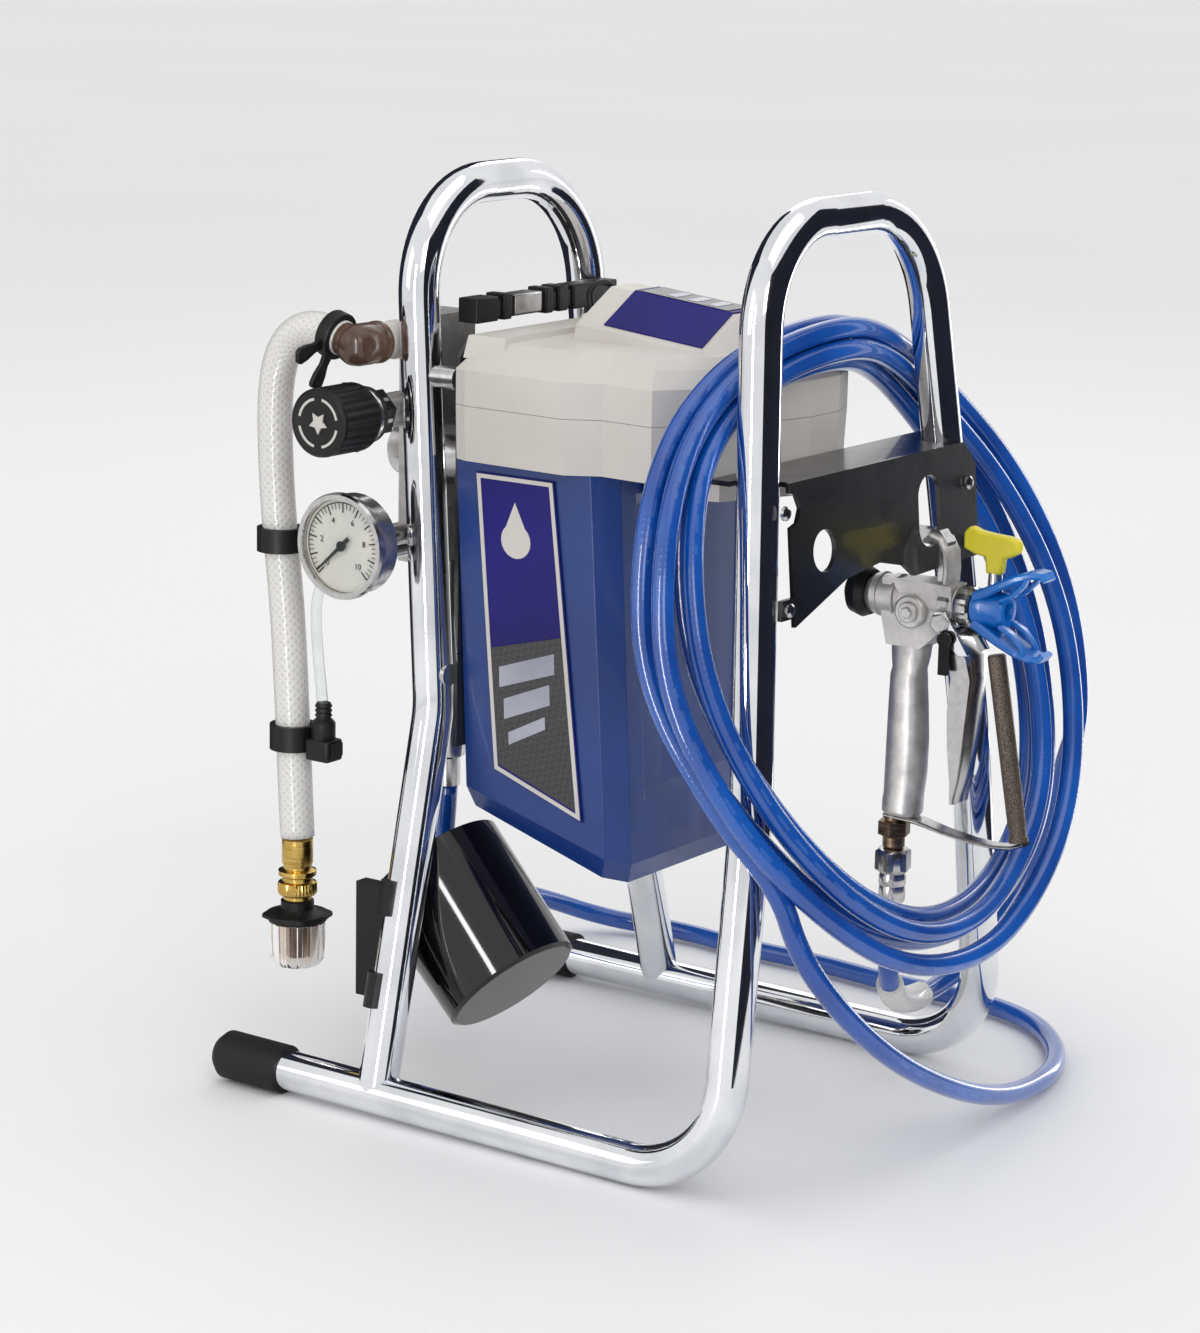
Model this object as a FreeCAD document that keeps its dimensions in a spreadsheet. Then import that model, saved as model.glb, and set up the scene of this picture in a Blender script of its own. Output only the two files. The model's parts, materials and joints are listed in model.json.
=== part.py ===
import FreeCAD, Part
import Sketcher
import math
import os

V = FreeCAD.Vector
X_AXIS, Y_AXIS, Z_AXIS = V(1, 0, 0), V(0, 1, 0), V(0, 0, 1)

# Airless paint sprayer on a bent-tube stand.  +Z is up, the spray gun and the hose coil are at the
# front (-Y), the pump and the suction hose at the rear (+Y).  Z = 0 is the floor.
SIZES = {
    "tube_od": 25.4, "tube_wall": 2.0, "rail_half_gap": 157.0, "front_y": -150.0, "rail_end_y": 226.0,
    "rail_rear_z": 15.95, "rail_front_z": 12.2, "foot_bend": 60.0, "loop_bend": 70.0,
    "front_top_z": 565.0, "rear_top_z": 569.0,
    "cap_od": 31.0, "cap_length": 52.0,
    "plate_thick": 3.0,
    "cover_wall": 2.5, "cover_top_z": 408.0, "tier_top_z": 442.0,
    "motor_od": 96.0, "motor_wall": 4.0, "motor_low_z": 206.0, "motor_high_z": 330.0,
    "shaft_od": 10.0, "shaft_clearance": 0.05, "crank_od": 64.0, "pinion_od": 16.0, "crank_throw": 8.0,
    "rod_od": 12.0, "gauge_od": 66.0, "gauge_depth": 19.0, "knob_od": 43.0, "knob_length": 48.0,
    "suction_od": 22.0, "drain_od": 7.0, "paint_hose_od": 13.0,
    "coil_radius": 187.0, "coil_rise": 178.0, "coil_bundle": 18.0, "coil_middle_x": 9.0,
    "coil_middle_z": 312.5,
    "cup_od": 90.0, "cup_length": 96.0, "cup_wall": 2.5,
    "gun_x": 61.0, "barrel_z": 328.0, "handle_width": 22.0,
    "strainer_od": 36.0, "coupling_od": 20.0,
}

doc = FreeCAD.newDocument("airless_paint_sprayer")
sheet = doc.addObject("Spreadsheet::Sheet", "Sizes")
for row, (name, value) in enumerate(SIZES.items(), 1):
    sheet.set("A%d" % row, name)
    sheet.set("B%d" % row, str(value))
    sheet.setAlias("B%d" % row, name)
doc.recompute()

parts = []


def size(name):
    return float(sheet.get(name))


def placed(base, axis=Z_AXIS):
    return FreeCAD.Placement(V(*base), FreeCAD.Rotation(Z_AXIS, V(*axis)))


def keep(obj, label):
    obj.Label = label
    parts.append(obj)
    return obj


def cylinder(name, radius, height, base, axis=(0, 0, 1)):
    """A round bar along axis; radius and height are sheet expressions."""
    obj = doc.addObject("Part::Cylinder", name)
    obj.setExpression("Radius", radius)
    obj.setExpression("Height", height)
    obj.Placement = placed(base, axis)
    return obj


def box(name, length, width, height, corner):
    obj = doc.addObject("Part::Box", name)
    obj.setExpression("Length", length)
    obj.setExpression("Width", width)
    obj.setExpression("Height", height)
    obj.Placement = placed(corner)
    return obj


def cut(name, base, tool):
    obj = doc.addObject("Part::Cut", name)
    obj.Base, obj.Tool = base, tool
    return obj


def fuse(name, shapes):
    obj = doc.addObject("Part::MultiFuse", name)
    obj.Shapes = shapes
    return obj


def group(name, shapes):
    """Several separate solids kept in one node."""
    obj = doc.addObject("Part::Compound", name)
    obj.Links = shapes
    return obj


def feature(name, shape):
    obj = doc.addObject("Part::Feature", name)
    obj.Shape = shape
    return obj


def sketch_on(body, role, loops, circles=()):
    """Closed point loops and (x, y, radius expression) circles on one of the body's own planes."""
    sketch = body.newObject("Sketcher::SketchObject", body.Name + "_sketch")
    plane = [item for item in body.Origin.OriginFeatures if item.Role == role][0]
    sketch.AttachmentSupport = [(plane, "")]
    sketch.MapMode = "FlatFace"
    for loop in loops:
        first = sketch.GeometryCount
        for start, end in zip(loop, loop[1:] + loop[:1]):
            sketch.addGeometry(Part.LineSegment(V(*start, 0), V(*end, 0)), False)
        count = len(loop)
        for step in range(count):
            sketch.addConstraint(Sketcher.Constraint("Coincident", first + step, 2,
                                                     first + (step + 1) % count, 1))
    for x, y, radius in circles:
        index = sketch.addGeometry(Part.Circle(V(x, y, 0), Z_AXIS, 5.0), False)
        sketch.addConstraint(Sketcher.Constraint("Radius", index, 5.0))
        sketch.setExpression("Constraints[%d]" % (sketch.ConstraintCount - 1), radius)
    return sketch


def padded_body(name, role, loops, thick, circles=(), base=(0, 0, 0), axis=(0, 0, 1), midplane=False):
    """A plate or block: a sketched outline padded by a sheet expression."""
    body = doc.addObject("PartDesign::Body", name)
    sketch = sketch_on(body, role, loops, circles)
    pad = body.newObject("PartDesign::Pad", name + "_pad")
    pad.Profile = sketch
    pad.setExpression("Length", thick)
    pad.Midplane = midplane
    body.Placement = placed(base, axis)
    return body


def turned_body(name, profile, base=(0, 0, 0), axis=(0, 0, 1)):
    """A turned piece: (radius, height) profile spun about the body's own Z, laid along axis."""
    body = doc.addObject("PartDesign::Body", name)
    sketch = sketch_on(body, "XZ_Plane", [list(profile)])
    spin = body.newObject("PartDesign::Revolution", name + "_spin")
    spin.Profile = sketch
    spin.ReferenceAxis = (sketch, ["V_Axis"])
    spin.Angle = 360.0
    body.Placement = placed(base, axis)
    return body


def bent_wire(route, radii):
    """Straight runs joined by tangent arcs through a route of points."""
    points = [V(*point) for point in route]
    edges = []
    last = points[0]
    for before, corner, after, radius in zip(points, points[1:], points[2:], radii):
        back = (before - corner).normalize()
        ahead = (after - corner).normalize()
        half_turn = (math.pi - back.getAngle(ahead)) / 2
        reach = radius * math.tan(half_turn)
        start = corner + back * reach
        end = corner + ahead * reach
        inward = (back + ahead).normalize()
        middle = corner + inward * (radius / math.cos(half_turn) - radius)
        edges.append(Part.LineSegment(last, start).toShape())
        edges.append(Part.Arc(start, middle, end).toShape())
        last = end
    edges.append(Part.LineSegment(last, points[-1]).toShape())
    return Part.Wire(edges)


def piped(wire, radius):
    edge = wire.Edges[0]
    start = edge.valueAt(edge.FirstParameter)
    ahead = edge.tangentAt(edge.FirstParameter)
    ring = Part.Wire([Part.Circle(start, ahead, radius).toShape()])
    return wire.makePipeShell([ring], True, True)


def soft_radii(route):
    """The largest arc at each point that its two runs allow."""
    points = [V(*point) for point in route]
    radii = []
    for before, corner, after in zip(points, points[1:], points[2:]):
        run = min((corner - before).Length, (after - corner).Length)
        half_turn = (math.pi - (before - corner).getAngle(after - corner)) / 2
        radii.append(0.45 * run / math.tan(half_turn))
    return radii


def soft_tube(label, route, od):
    radii = soft_radii(route)
    wire = bent_wire(route, radii)
    shape = piped(wire, od / 2)
    expected = math.pi * od * od / 4 * wire.Length
    print("%s: length %.0f mm, radii %s, volume ratio %.4f" % (
        label, wire.Length, [round(radius) for radius in radii], shape.Volume / expected))
    return keep(feature(label, shape), label)


# ---------------------------------------------------------------- stand: bent chrome tubes
tube_r = size("tube_od") / 2
bore_r = tube_r - size("tube_wall")
rail_x = size("rail_half_gap")
front_y = size("front_y")
FRONT_KNEE = (128.0, -147.0, 230.0)      # small bend in the front legs
FRONT_TOP = (88.4, -119.0, size("front_top_z"))
REAR_WELD = (rail_x, 104.0, 14.4)
REAR_KNEE = (96.0, 109.0, 250.0)
REAR_TOP = (86.1, 134.4, size("rear_top_z"))


def mirrored(point):
    return (-point[0], point[1], point[2])


def hollow_tube(route, radii):
    outer = piped(bent_wire(route, radii), tube_r)
    inner = piped(bent_wire(route, radii), bore_r)
    return outer.cut(inner)


def make_front_frame():
    rail_end = (rail_x, size("rail_end_y"), size("rail_rear_z"))
    corner = (rail_x, front_y, size("rail_front_z"))
    left = [mirrored(rail_end), mirrored(corner), mirrored(FRONT_KNEE), mirrored(FRONT_TOP)]
    right = [FRONT_TOP, FRONT_KNEE, corner, rail_end]
    foot, loop, knee = size("foot_bend"), size("loop_bend"), 400.0
    return keep(feature("front_frame", hollow_tube(left + right, [foot, knee, loop, loop, knee, foot])),
                "front_frame")


def rail_bar(side):
    start = V(side * rail_x, front_y, size("rail_front_z"))
    end = V(side * rail_x, size("rail_end_y"), size("rail_rear_z"))
    ahead = end - start
    return Part.makeCylinder(tube_r, ahead.Length, start, ahead)


def make_rear_loop():
    route = [mirrored(REAR_WELD), mirrored(REAR_KNEE), mirrored(REAR_TOP), REAR_TOP, REAR_KNEE, REAR_WELD]
    loop = size("loop_bend")
    shape = hollow_tube(route, [80.0, loop, loop, 80.0])
    shape = shape.cut(rail_bar(-1)).cut(rail_bar(1))
    biggest = max(shape.Solids, key=lambda solid: solid.Volume)
    return keep(feature("rear_loop", biggest), "rear_loop")


def make_foot_cap(side, label):
    """A rubber cup pushed over the open end of a floor rail."""
    end = V(side * rail_x, size("rail_end_y"), size("rail_rear_z"))
    ahead = (V(side * rail_x, front_y, size("rail_front_z")) - end).normalize()
    base = tuple(end - ahead * 3)
    outer_r = size("cap_od") / 2
    depth = size("cap_length")
    profile = [(0, 0), (outer_r - 4, 0), (outer_r, 5), (outer_r, depth), (tube_r + 0.02, depth),
               (tube_r + 0.02, 3), (0, 3)]
    body = turned_body(label, profile, base, tuple(ahead))
    return keep(body, label)


def leg_point(low, high, z):
    share = (z - low[2]) / (high[2] - low[2])
    return V(*(a + (b - a) * share for a, b in zip(low, high)))


# ---------------------------------------------------------------- front bracket and its screws
BRACKET_TOP_Z = 420.0
BRACKET_LEAN = math.degrees(math.atan2(FRONT_TOP[1] - FRONT_KNEE[1], FRONT_TOP[2] - FRONT_KNEE[2]))
BRACKET_GAP = 0.4


def bracket_plane_y(z):
    return leg_point(FRONT_KNEE, FRONT_TOP, z).y - tube_r - BRACKET_GAP


def make_front_bracket():
    """Folded black plate across the front legs, with a shelf behind it that the hose coil hangs on."""
    thick = size("plate_thick")
    low = -BRACKET_TOP_Z
    outline = [(-97, 420), (104, 420), (118, 406), (118, 348), (40, 346), (28, 354), (0, 360), (-38, 356),
               (-97, 336)]
    plate = [(x, z + low) for x, z in outline]
    notch = [(-97, 414), (-90, 412), (-86, 404), (-90, 396), (-97, 394)]
    panel = Part.Face(Part.makePolygon([V(x, 0, z) for x, z in plate + plate[:1]]))
    panel = panel.extrude(V(0, -thick, 0))
    hole = Part.makeCylinder(12.5, 4 * thick, V(-62, -2 * thick, 376 + low), Y_AXIS)
    cutter = Part.Face(Part.makePolygon([V(x, thick, z + low) for x, z in notch + notch[:1]]))
    cutter = cutter.extrude(V(0, -3 * thick, 0))
    gun_slot = Part.makeBox(26, 3 * thick, 18, V(47, -2 * thick, 374 + low))
    for z in (374, 392):
        gun_slot = gun_slot.fuse(Part.makeCylinder(13, 3 * thick, V(60, -2 * thick, z + low), Y_AXIS))
    panel = panel.cut(hole).cut(cutter).cut(gun_slot)
    lean = FreeCAD.Rotation(X_AXIS, -BRACKET_LEAN)
    panel.Placement = FreeCAD.Placement(V(0, bracket_plane_y(BRACKET_TOP_Z), BRACKET_TOP_Z), lean)
    shelf_y = bracket_plane_y(BRACKET_TOP_Z) - thick
    shelf = Part.makeBox(198, 44, thick, V(-94, shelf_y, BRACKET_TOP_Z - thick))
    hook = Part.makeBox(246, 14, thick, V(-114, shelf_y + 30, BRACKET_TOP_Z - thick))
    tabs = [Part.makeBox(14, thick, 12, V(-111, bracket_plane_y(z) - thick, z - 6)) for z in (404, 348)]
    bracket = panel.fuse([shelf, hook] + tabs)
    for side in (-1, 1):
        low_point = V(side * FRONT_KNEE[0], FRONT_KNEE[1], FRONT_KNEE[2])
        top_point = V(side * FRONT_TOP[0], FRONT_TOP[1], FRONT_TOP[2])
        leg = Part.makeCylinder(tube_r + 0.35, (top_point - low_point).Length, low_point,
                                top_point - low_point)
        bracket = bracket.cut(leg)
    shape = max(bracket.removeSplitter().Solids, key=lambda solid: solid.Volume)
    return keep(feature("front_bracket", shape), "front_bracket")


def make_bracket_screws():
    thick = size("plate_thick")
    screws = []
    for x, z in ((-105, 404), (-105, 348), (106, 395), (109, 358)):
        y = bracket_plane_y(z) - thick - 0.4
        head = turned_body("bracket_screw_%d" % len(screws), [(0, 0), (4.2, 0), (4.2, 2), (2.6, 3.4), (0,
            3.6)],
                           (x, y, z), (0, -1, 0))
        screws.append(head)
    return keep(group("bracket_screws", screws), "bracket_screws")


# ---------------------------------------------------------------- rear bar, back plate, spacers
def make_rear_cross_bar():
    bar = box("cross_bar_block", "150", "12", "12", (-66, 102.5, 488))
    thin = box("cross_bar_thin", "20", "9", "8", (-86, 104, 486))
    return keep(fuse("rear_cross_bar", [bar, thin]), "rear_cross_bar")


def make_back_plate():
    outline = [(-92, 226), (92, 226), (92, 470), (80, 482), (-80, 482), (-92, 470)]
    body = padded_body("back_plate", "XZ_Plane", [outline], "Sizes.plate_thick",
                       [(-40, 400, "27"), (55, 440, "6")], (0, 97, 0))
    return keep(body, "back_plate")


def make_plate_spacers():
    """Four round spacers that stand the back plate off the rear legs."""
    spacers = []
    for side in (-1, 1):
        for z in (272, 456):
            leg = leg_point(REAR_KNEE, REAR_TOP, z)
            bar = Part.makeCylinder(7, leg.y - 97.1, V(side * leg.x, 97.1, z), Y_AXIS)
            low = V(side * REAR_KNEE[0], REAR_KNEE[1], REAR_KNEE[2])
            top = V(side * REAR_TOP[0], REAR_TOP[1], REAR_TOP[2])
            tube = Part.makeCylinder(tube_r + 0.02, (top - low).Length, low, top - low)
            spacers.append(bar.cut(tube))
    shape = Part.makeCompound([spacer.Solids[0] for spacer in spacers])
    return keep(feature("plate_spacers", shape), "plate_spacers")


# ---------------------------------------------------------------- covers
BLUE_TOP = [(-95, 93.5), (-95, -6), (-82, -19), (82, -19), (95, -6), (95, 93.5)]
BLUE_LOW = [(-79, 93.5), (-79, -12), (-68, -24), (68, -24), (79, -12), (79, 93.5)]
TIER = [(-97, 93.5), (-101, 84), (-105, 8), (-93, -12), (-96, -50), (-40, -88), (5, -98), (36, -98),
        (62, -88), (96, -50), (93, -12), (105, 8), (101, 84), (97, 93.5)]
TIER_LOW = [(x * 0.985, y * 0.985 if y < 0 else y) for x, y in TIER]


def shrunk(outline, step):
    """The outline moved in by step, for the inner wall of a shell."""
    face = Part.Face(Part.makePolygon([V(x, y, 0) for x, y in outline + outline[:1]]))
    ring = face.makeOffset2D(-step, 2)
    points = [vertex.Point for vertex in ring.OuterWire.OrderedVertexes]
    return [(point.x, point.y) for point in points]


def ruled(layers):
    """A solid through level outlines, each with the same number of points."""
    wires = [Part.makePolygon([V(x, y, z) for x, y in outline + outline[:1]]) for outline, z in layers]
    return Part.makeLoft(wires, True, True)


def make_motor_cover():
    """Blue cover: a tapered bucket under the drive, open at the top, with a slanted floor."""
    wall = size("cover_wall")
    top_z = size("cover_top_z")
    low_z = 151.0
    outer = ruled([(BLUE_LOW, low_z), (BLUE_TOP, top_z)])
    below = Part.Face(Part.makePolygon([V(-150, 160, 140), V(-150, 93.6, 184.5), V(-150, -60, 140.3),
                                        V(-150, -60, 100), V(-150, 160, 100), V(-150, 160, 140)]))
    outer = outer.cut(below.extrude(V(300, 0, 0)))
    inner_low = [(x * 0.965, min(y, 91) + (wall if y < 0 else 0)) for x, y in BLUE_LOW]
    inner_top = [(x * 0.972, min(y, 91) + (wall if y < 0 else 0)) for x, y in BLUE_TOP]
    inner = ruled([(inner_low, low_z), (inner_top, top_z)])
    raised = below.copy()
    raised.translate(V(0, 0, 3.2))
    inner = inner.cut(raised.extrude(V(300, 0, 0)))
    shell = outer.cut(inner)
    recess = ruled([([(-50, -30), (-50, -21.8), (50, -21.8), (50, -30)], 185),
                    ([(-62, -30), (-62, -18.0), (62, -18.0), (62, -30)], 396)])
    shell = shell.cut(recess)
    vent = [Part.makeBox(7, 60, 2.5, V(96 - 14, 10, z)) for z in range(250, 330, 12)]
    shape = max(shell.cut(vent + [neck_hole()]).Solids, key=lambda solid: solid.Volume)
    return keep(feature("motor_cover", shape), "motor_cover")


def neck_hole():
    """Clearance for the pump cylinder through the rear walls of the covers."""
    return Part.makeCylinder(24.6, 30, V(PUMP_ROD_X, 75, PUMP_ROD_Z), Y_AXIS)


def make_lower_housing():
    """White lower tier: a ring with the neck of the gear case under its nose."""
    low_z, top_z = size("cover_top_z") + 0.3, size("tier_top_z")
    outer = ruled([(TIER_LOW, low_z), (TIER, top_z)])
    inner = ruled([(shrunk(TIER_LOW, 3), low_z + 3), (shrunk(TIER, 3), top_z + 1)])
    neck_outline = [(-60, -22), (-52, -70), (0, -93), (34, -93), (56, -70), (64, -22)]
    neck = ruled([(neck_outline, low_z - 14), (neck_outline, low_z + 6)])
    hollow = ruled([(shrunk(neck_outline, 3), low_z - 11), (shrunk(neck_outline, 3), low_z + 7)])
    eye = Part.makeCylinder(6, 30, V(-15, -100, low_z - 6), Y_AXIS)
    mouth = Part.makeBox(160, 96, 20, V(-80, -8, low_z - 5))
    shape = outer.fuse(neck).cut([inner, hollow, mouth, eye, neck_hole()])
    shape = max(shape.removeSplitter().Solids, key=lambda solid: solid.Volume)
    return keep(feature("lower_housing", shape), "lower_housing")


def scaled(outline, factor_x, factor_y, middle=(0, 10)):
    return [(middle[0] + (x - middle[0]) * factor_x, middle[1] + (y - middle[1]) * factor_y)
            for x, y in outline]


POD_SIDE = 14.0
TOP_LAYERS = [(1.0, 1.0, 442.3), (1.0, 1.0, 464.0), (0.90, 0.92, 474.0), (0.80, 0.84, 480.0)]


def make_top_cover():
    """White lid: straight skirt, bevel, crown, and a wedge-shaped pod for the badge."""
    outer = ruled([(scaled(TIER, fx, fy), z) for fx, fy, z in TOP_LAYERS])
    inner_tier = shrunk(TIER, 3)
    inner = ruled([(scaled(inner_tier, fx, fy), z - (1 if i == 0 else 3.0))
                   for i, (fx, fy, z) in enumerate(TOP_LAYERS)])
    wires = []
    for y, crown, eave in ((48, 509, 489), (-46, 499, 479), (-74, 480, 473)):
        section = [(-56, 468), (-50, eave), (-13, crown), (13, crown), (50, eave), (56, 468)]
        wires.append(Part.makePolygon([V(x + POD_SIDE, y, z) for x, z in section + section[:1]]))
    pod = Part.makeLoft(wires, True, True)
    rear_step = ruled([([(-92, 92), (-92, 62), (92, 62), (92, 92)], 470),
                       ([(-88, 91), (-84, 66), (84, 66), (88, 91)], 483.5)])
    shape = outer.cut(inner).fuse([pod, rear_step])
    shape = max(shape.removeSplitter().Solids, key=lambda solid: solid.Volume)
    return keep(feature("top_cover", shape), "top_cover")


BADGE_X = -95.45
BADGE_TOP_Z = 402
COVER_TAPER = 16
COVER_HEIGHT = 257


def make_badges():
    side = Part.makePolygon([V(0, 78, 402), V(0, 20, 402), V(0, 4, 190), V(0, 70, 214), V(0, 78, 402)])
    side = Part.Face(side).extrude(V(-0.8, 0, 0))
    lean = -math.degrees(math.atan2(COVER_TAPER, COVER_HEIGHT))
    side.Placement = FreeCAD.Placement(V(BADGE_X, 0, 0), FreeCAD.Rotation())
    side.rotate(V(BADGE_X, 0, BADGE_TOP_Z), Y_AXIS, lean)
    keep(feature("side_badge", side), "side_badge")
    wires = []
    for y, crown, eave in ((30, 507.1, 487.1), (-42, 499.4, 479.4)):
        slope = [(-46, eave + 2.4), (-13, crown + 0.35), (13, crown + 0.35), (46, eave + 2.4)]
        lower = [(x + POD_SIDE, z) for x, z in slope]
        upper = [(x, z + 0.8) for x, z in reversed(lower)]
        wires.append(Part.makePolygon([V(x, y, z) for x, z in lower + upper + lower[:1]]))
    keep(feature("top_badge", Part.makeLoft(wires, True, True)), "top_badge")


# ---------------------------------------------------------------- drive inside the covers
MOTOR_AT = (30.0, 36.0)
CRANK_AT = (MOTOR_AT[0] - 40.4, 36.0)
GEAR_Z = 346.0


def make_motor():
    low, high = size("motor_low_z"), size("motor_high_z")
    outer_r = size("motor_od") / 2
    inner_r = outer_r - size("motor_wall")
    shaft_r = size("shaft_od") / 2
    hole_r = shaft_r + size("shaft_clearance")
    length = high - low
    profile = [(hole_r, 0), (outer_r, 0), (outer_r, length), (hole_r, length), (hole_r, length - 5),
               (inner_r, length - 5), (inner_r, 5), (hole_r, 5)]
    keep(turned_body("motor_can", profile, (*MOTOR_AT, low)), "motor_can")
    core = inner_r - 12
    rotor = [(0, -8), (shaft_r, -8), (shaft_r, 18), (core, 18), (core, length - 18), (shaft_r, length - 18),
             (shaft_r, GEAR_Z - low), (size("pinion_od") / 2, GEAR_Z - low),
             (size("pinion_od") / 2, GEAR_Z - low + 10), (0, GEAR_Z - low + 10)]
    keep(turned_body("motor_rotor", rotor, (*MOTOR_AT, low)), "motor_rotor")
    fan = turned_body("fan_hub", [(shaft_r + 0.3, 0), (9, 0), (9, 9), (shaft_r + 0.3, 9)],
                      (*MOTOR_AT, low - 17))
    blades = []
    for step in range(8):
        blade = box("fan_blade_%d" % step, "28", "1.6", "9", (0, 0, 0))
        turn = FreeCAD.Rotation(Z_AXIS, 45 * step)
        blade.Placement = FreeCAD.Placement(V(*MOTOR_AT, low - 17) + turn.multVec(V(8.5, -0.8, 0)), turn)
        blades.append(blade)
    hub_shaft = cylinder("fan_stub", "Sizes.shaft_od / 2 + 0.4", "9", (*MOTOR_AT, low - 17))
    keep(fuse("cooling_fan", [fan, hub_shaft] + blades), "cooling_fan")


def make_gear_case():
    """Flat gear case plate with a post for the crank gear."""
    low = size("motor_high_z") + 0.3
    outline = [(-52, -10), (60, -10), (70, 0), (70, 76), (60, 86), (-52, 86)]
    body = padded_body("gear_case", "XY_Plane", [outline], "6",
                       [(MOTOR_AT[0], MOTOR_AT[1], "Sizes.shaft_od / 2 + 0.6"),
                        (CRANK_AT[0], CRANK_AT[1], "Sizes.shaft_od / 2 + Sizes.shaft_clearance")],
                       (0, 0, low))
    keep(body, "gear_case")


def make_crank_gear():
    radius = size("crank_od") / 2
    shaft_r = size("shaft_od") / 2
    disc = turned_body("crank_disc", [(0, -12), (shaft_r, -12), (shaft_r, 0), (radius, 0), (radius, 10),
                                      (0, 10)],
                       (*CRANK_AT, GEAR_Z))
    pin = cylinder("crank_pin", "5", "14", (CRANK_AT[0], CRANK_AT[1] + size("crank_throw"), GEAR_Z + 9.5))
    keep(fuse("crank_gear", [disc, pin]), "crank_gear")


PUMP_ROD_X = -40.0
PUMP_ROD_Z = 400.0
BLOCK_FRONT_Y = 141.6
BLOCK_LEFT_X = -58.0
BLOCK_DEPTH = 26.0


def make_pump():
    """Pump: rod and yoke, cylinder through the back plate, block, packing nut and outlet."""
    rod_r = size("rod_od") / 2
    rod = cylinder("rod_bar", "Sizes.rod_od / 2", "72", (PUMP_ROD_X, 70, PUMP_ROD_Z), (0, 1, 0))
    yoke = box("rod_yoke", "44", "8", "40", (PUMP_ROD_X - 10, 62.5, PUMP_ROD_Z - 28))
    keep(fuse("piston_rod", [rod, yoke]), "piston_rod")
    bore = rod_r + 0.05
    keep(turned_body("pump_cylinder", [(bore, 0), (24, 0), (24, 12), (20, 12), (20, 51.5), (bore, 51.5)],
                     (PUMP_ROD_X, 90, PUMP_ROD_Z), (0, 1, 0)), "pump_cylinder")
    block = box("block_body", "44", str(BLOCK_DEPTH), "158", (BLOCK_LEFT_X, BLOCK_FRONT_Y, 330))
    boss = box("gauge_boss", "12", "9", "24", (BLOCK_LEFT_X, BLOCK_FRONT_Y - 7.5, 343))
    bore_cut = cylinder("block_bore", "Sizes.rod_od / 2 + 2", "20", (PUMP_ROD_X, BLOCK_FRONT_Y - 1,
                                                                     PUMP_ROD_Z),
                        (0, 1, 0))
    stem = size("shaft_od") / 2
    bore_r = stem + size("shaft_clearance")
    collar = turned_body("knob_collar", [(bore_r, 0), (11, 0), (11, 45), (13.5, 48), (13.5, 56), (bore_r,
        56)],
                         (BLOCK_LEFT_X + 0.1, *KNOB_AT), (-1, 0, 0))
    keep(cut("pump_block", fuse("block_with_collar", [block, boss, collar]), bore_cut), "pump_block")
    keep(turned_body("packing_nut", [(0, 0), (17, 0), (17, 10), (12, 14), (0, 14)],
                     (PUMP_ROD_X, BLOCK_FRONT_Y + BLOCK_DEPTH + 0.1, PUMP_ROD_Z), (0, 1, 0)), "packing_nut")
    keep(turned_body("outlet_pipe", [(0, 0), (8, 0), (8, -106), (11, -108), (11, -130), (8, -132),
                                     (8, -150), (0, -150)], (-24, 152, 329.8)), "outlet_pipe")


# ---------------------------------------------------------------- controls on the left side
KNOB_AT = (148.0, 432.0)
GAUGE_AT = (142.0, 355.0)
GAUGE_FACE_X = -150.0
KNOB_FACE_X = -163.0


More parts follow.
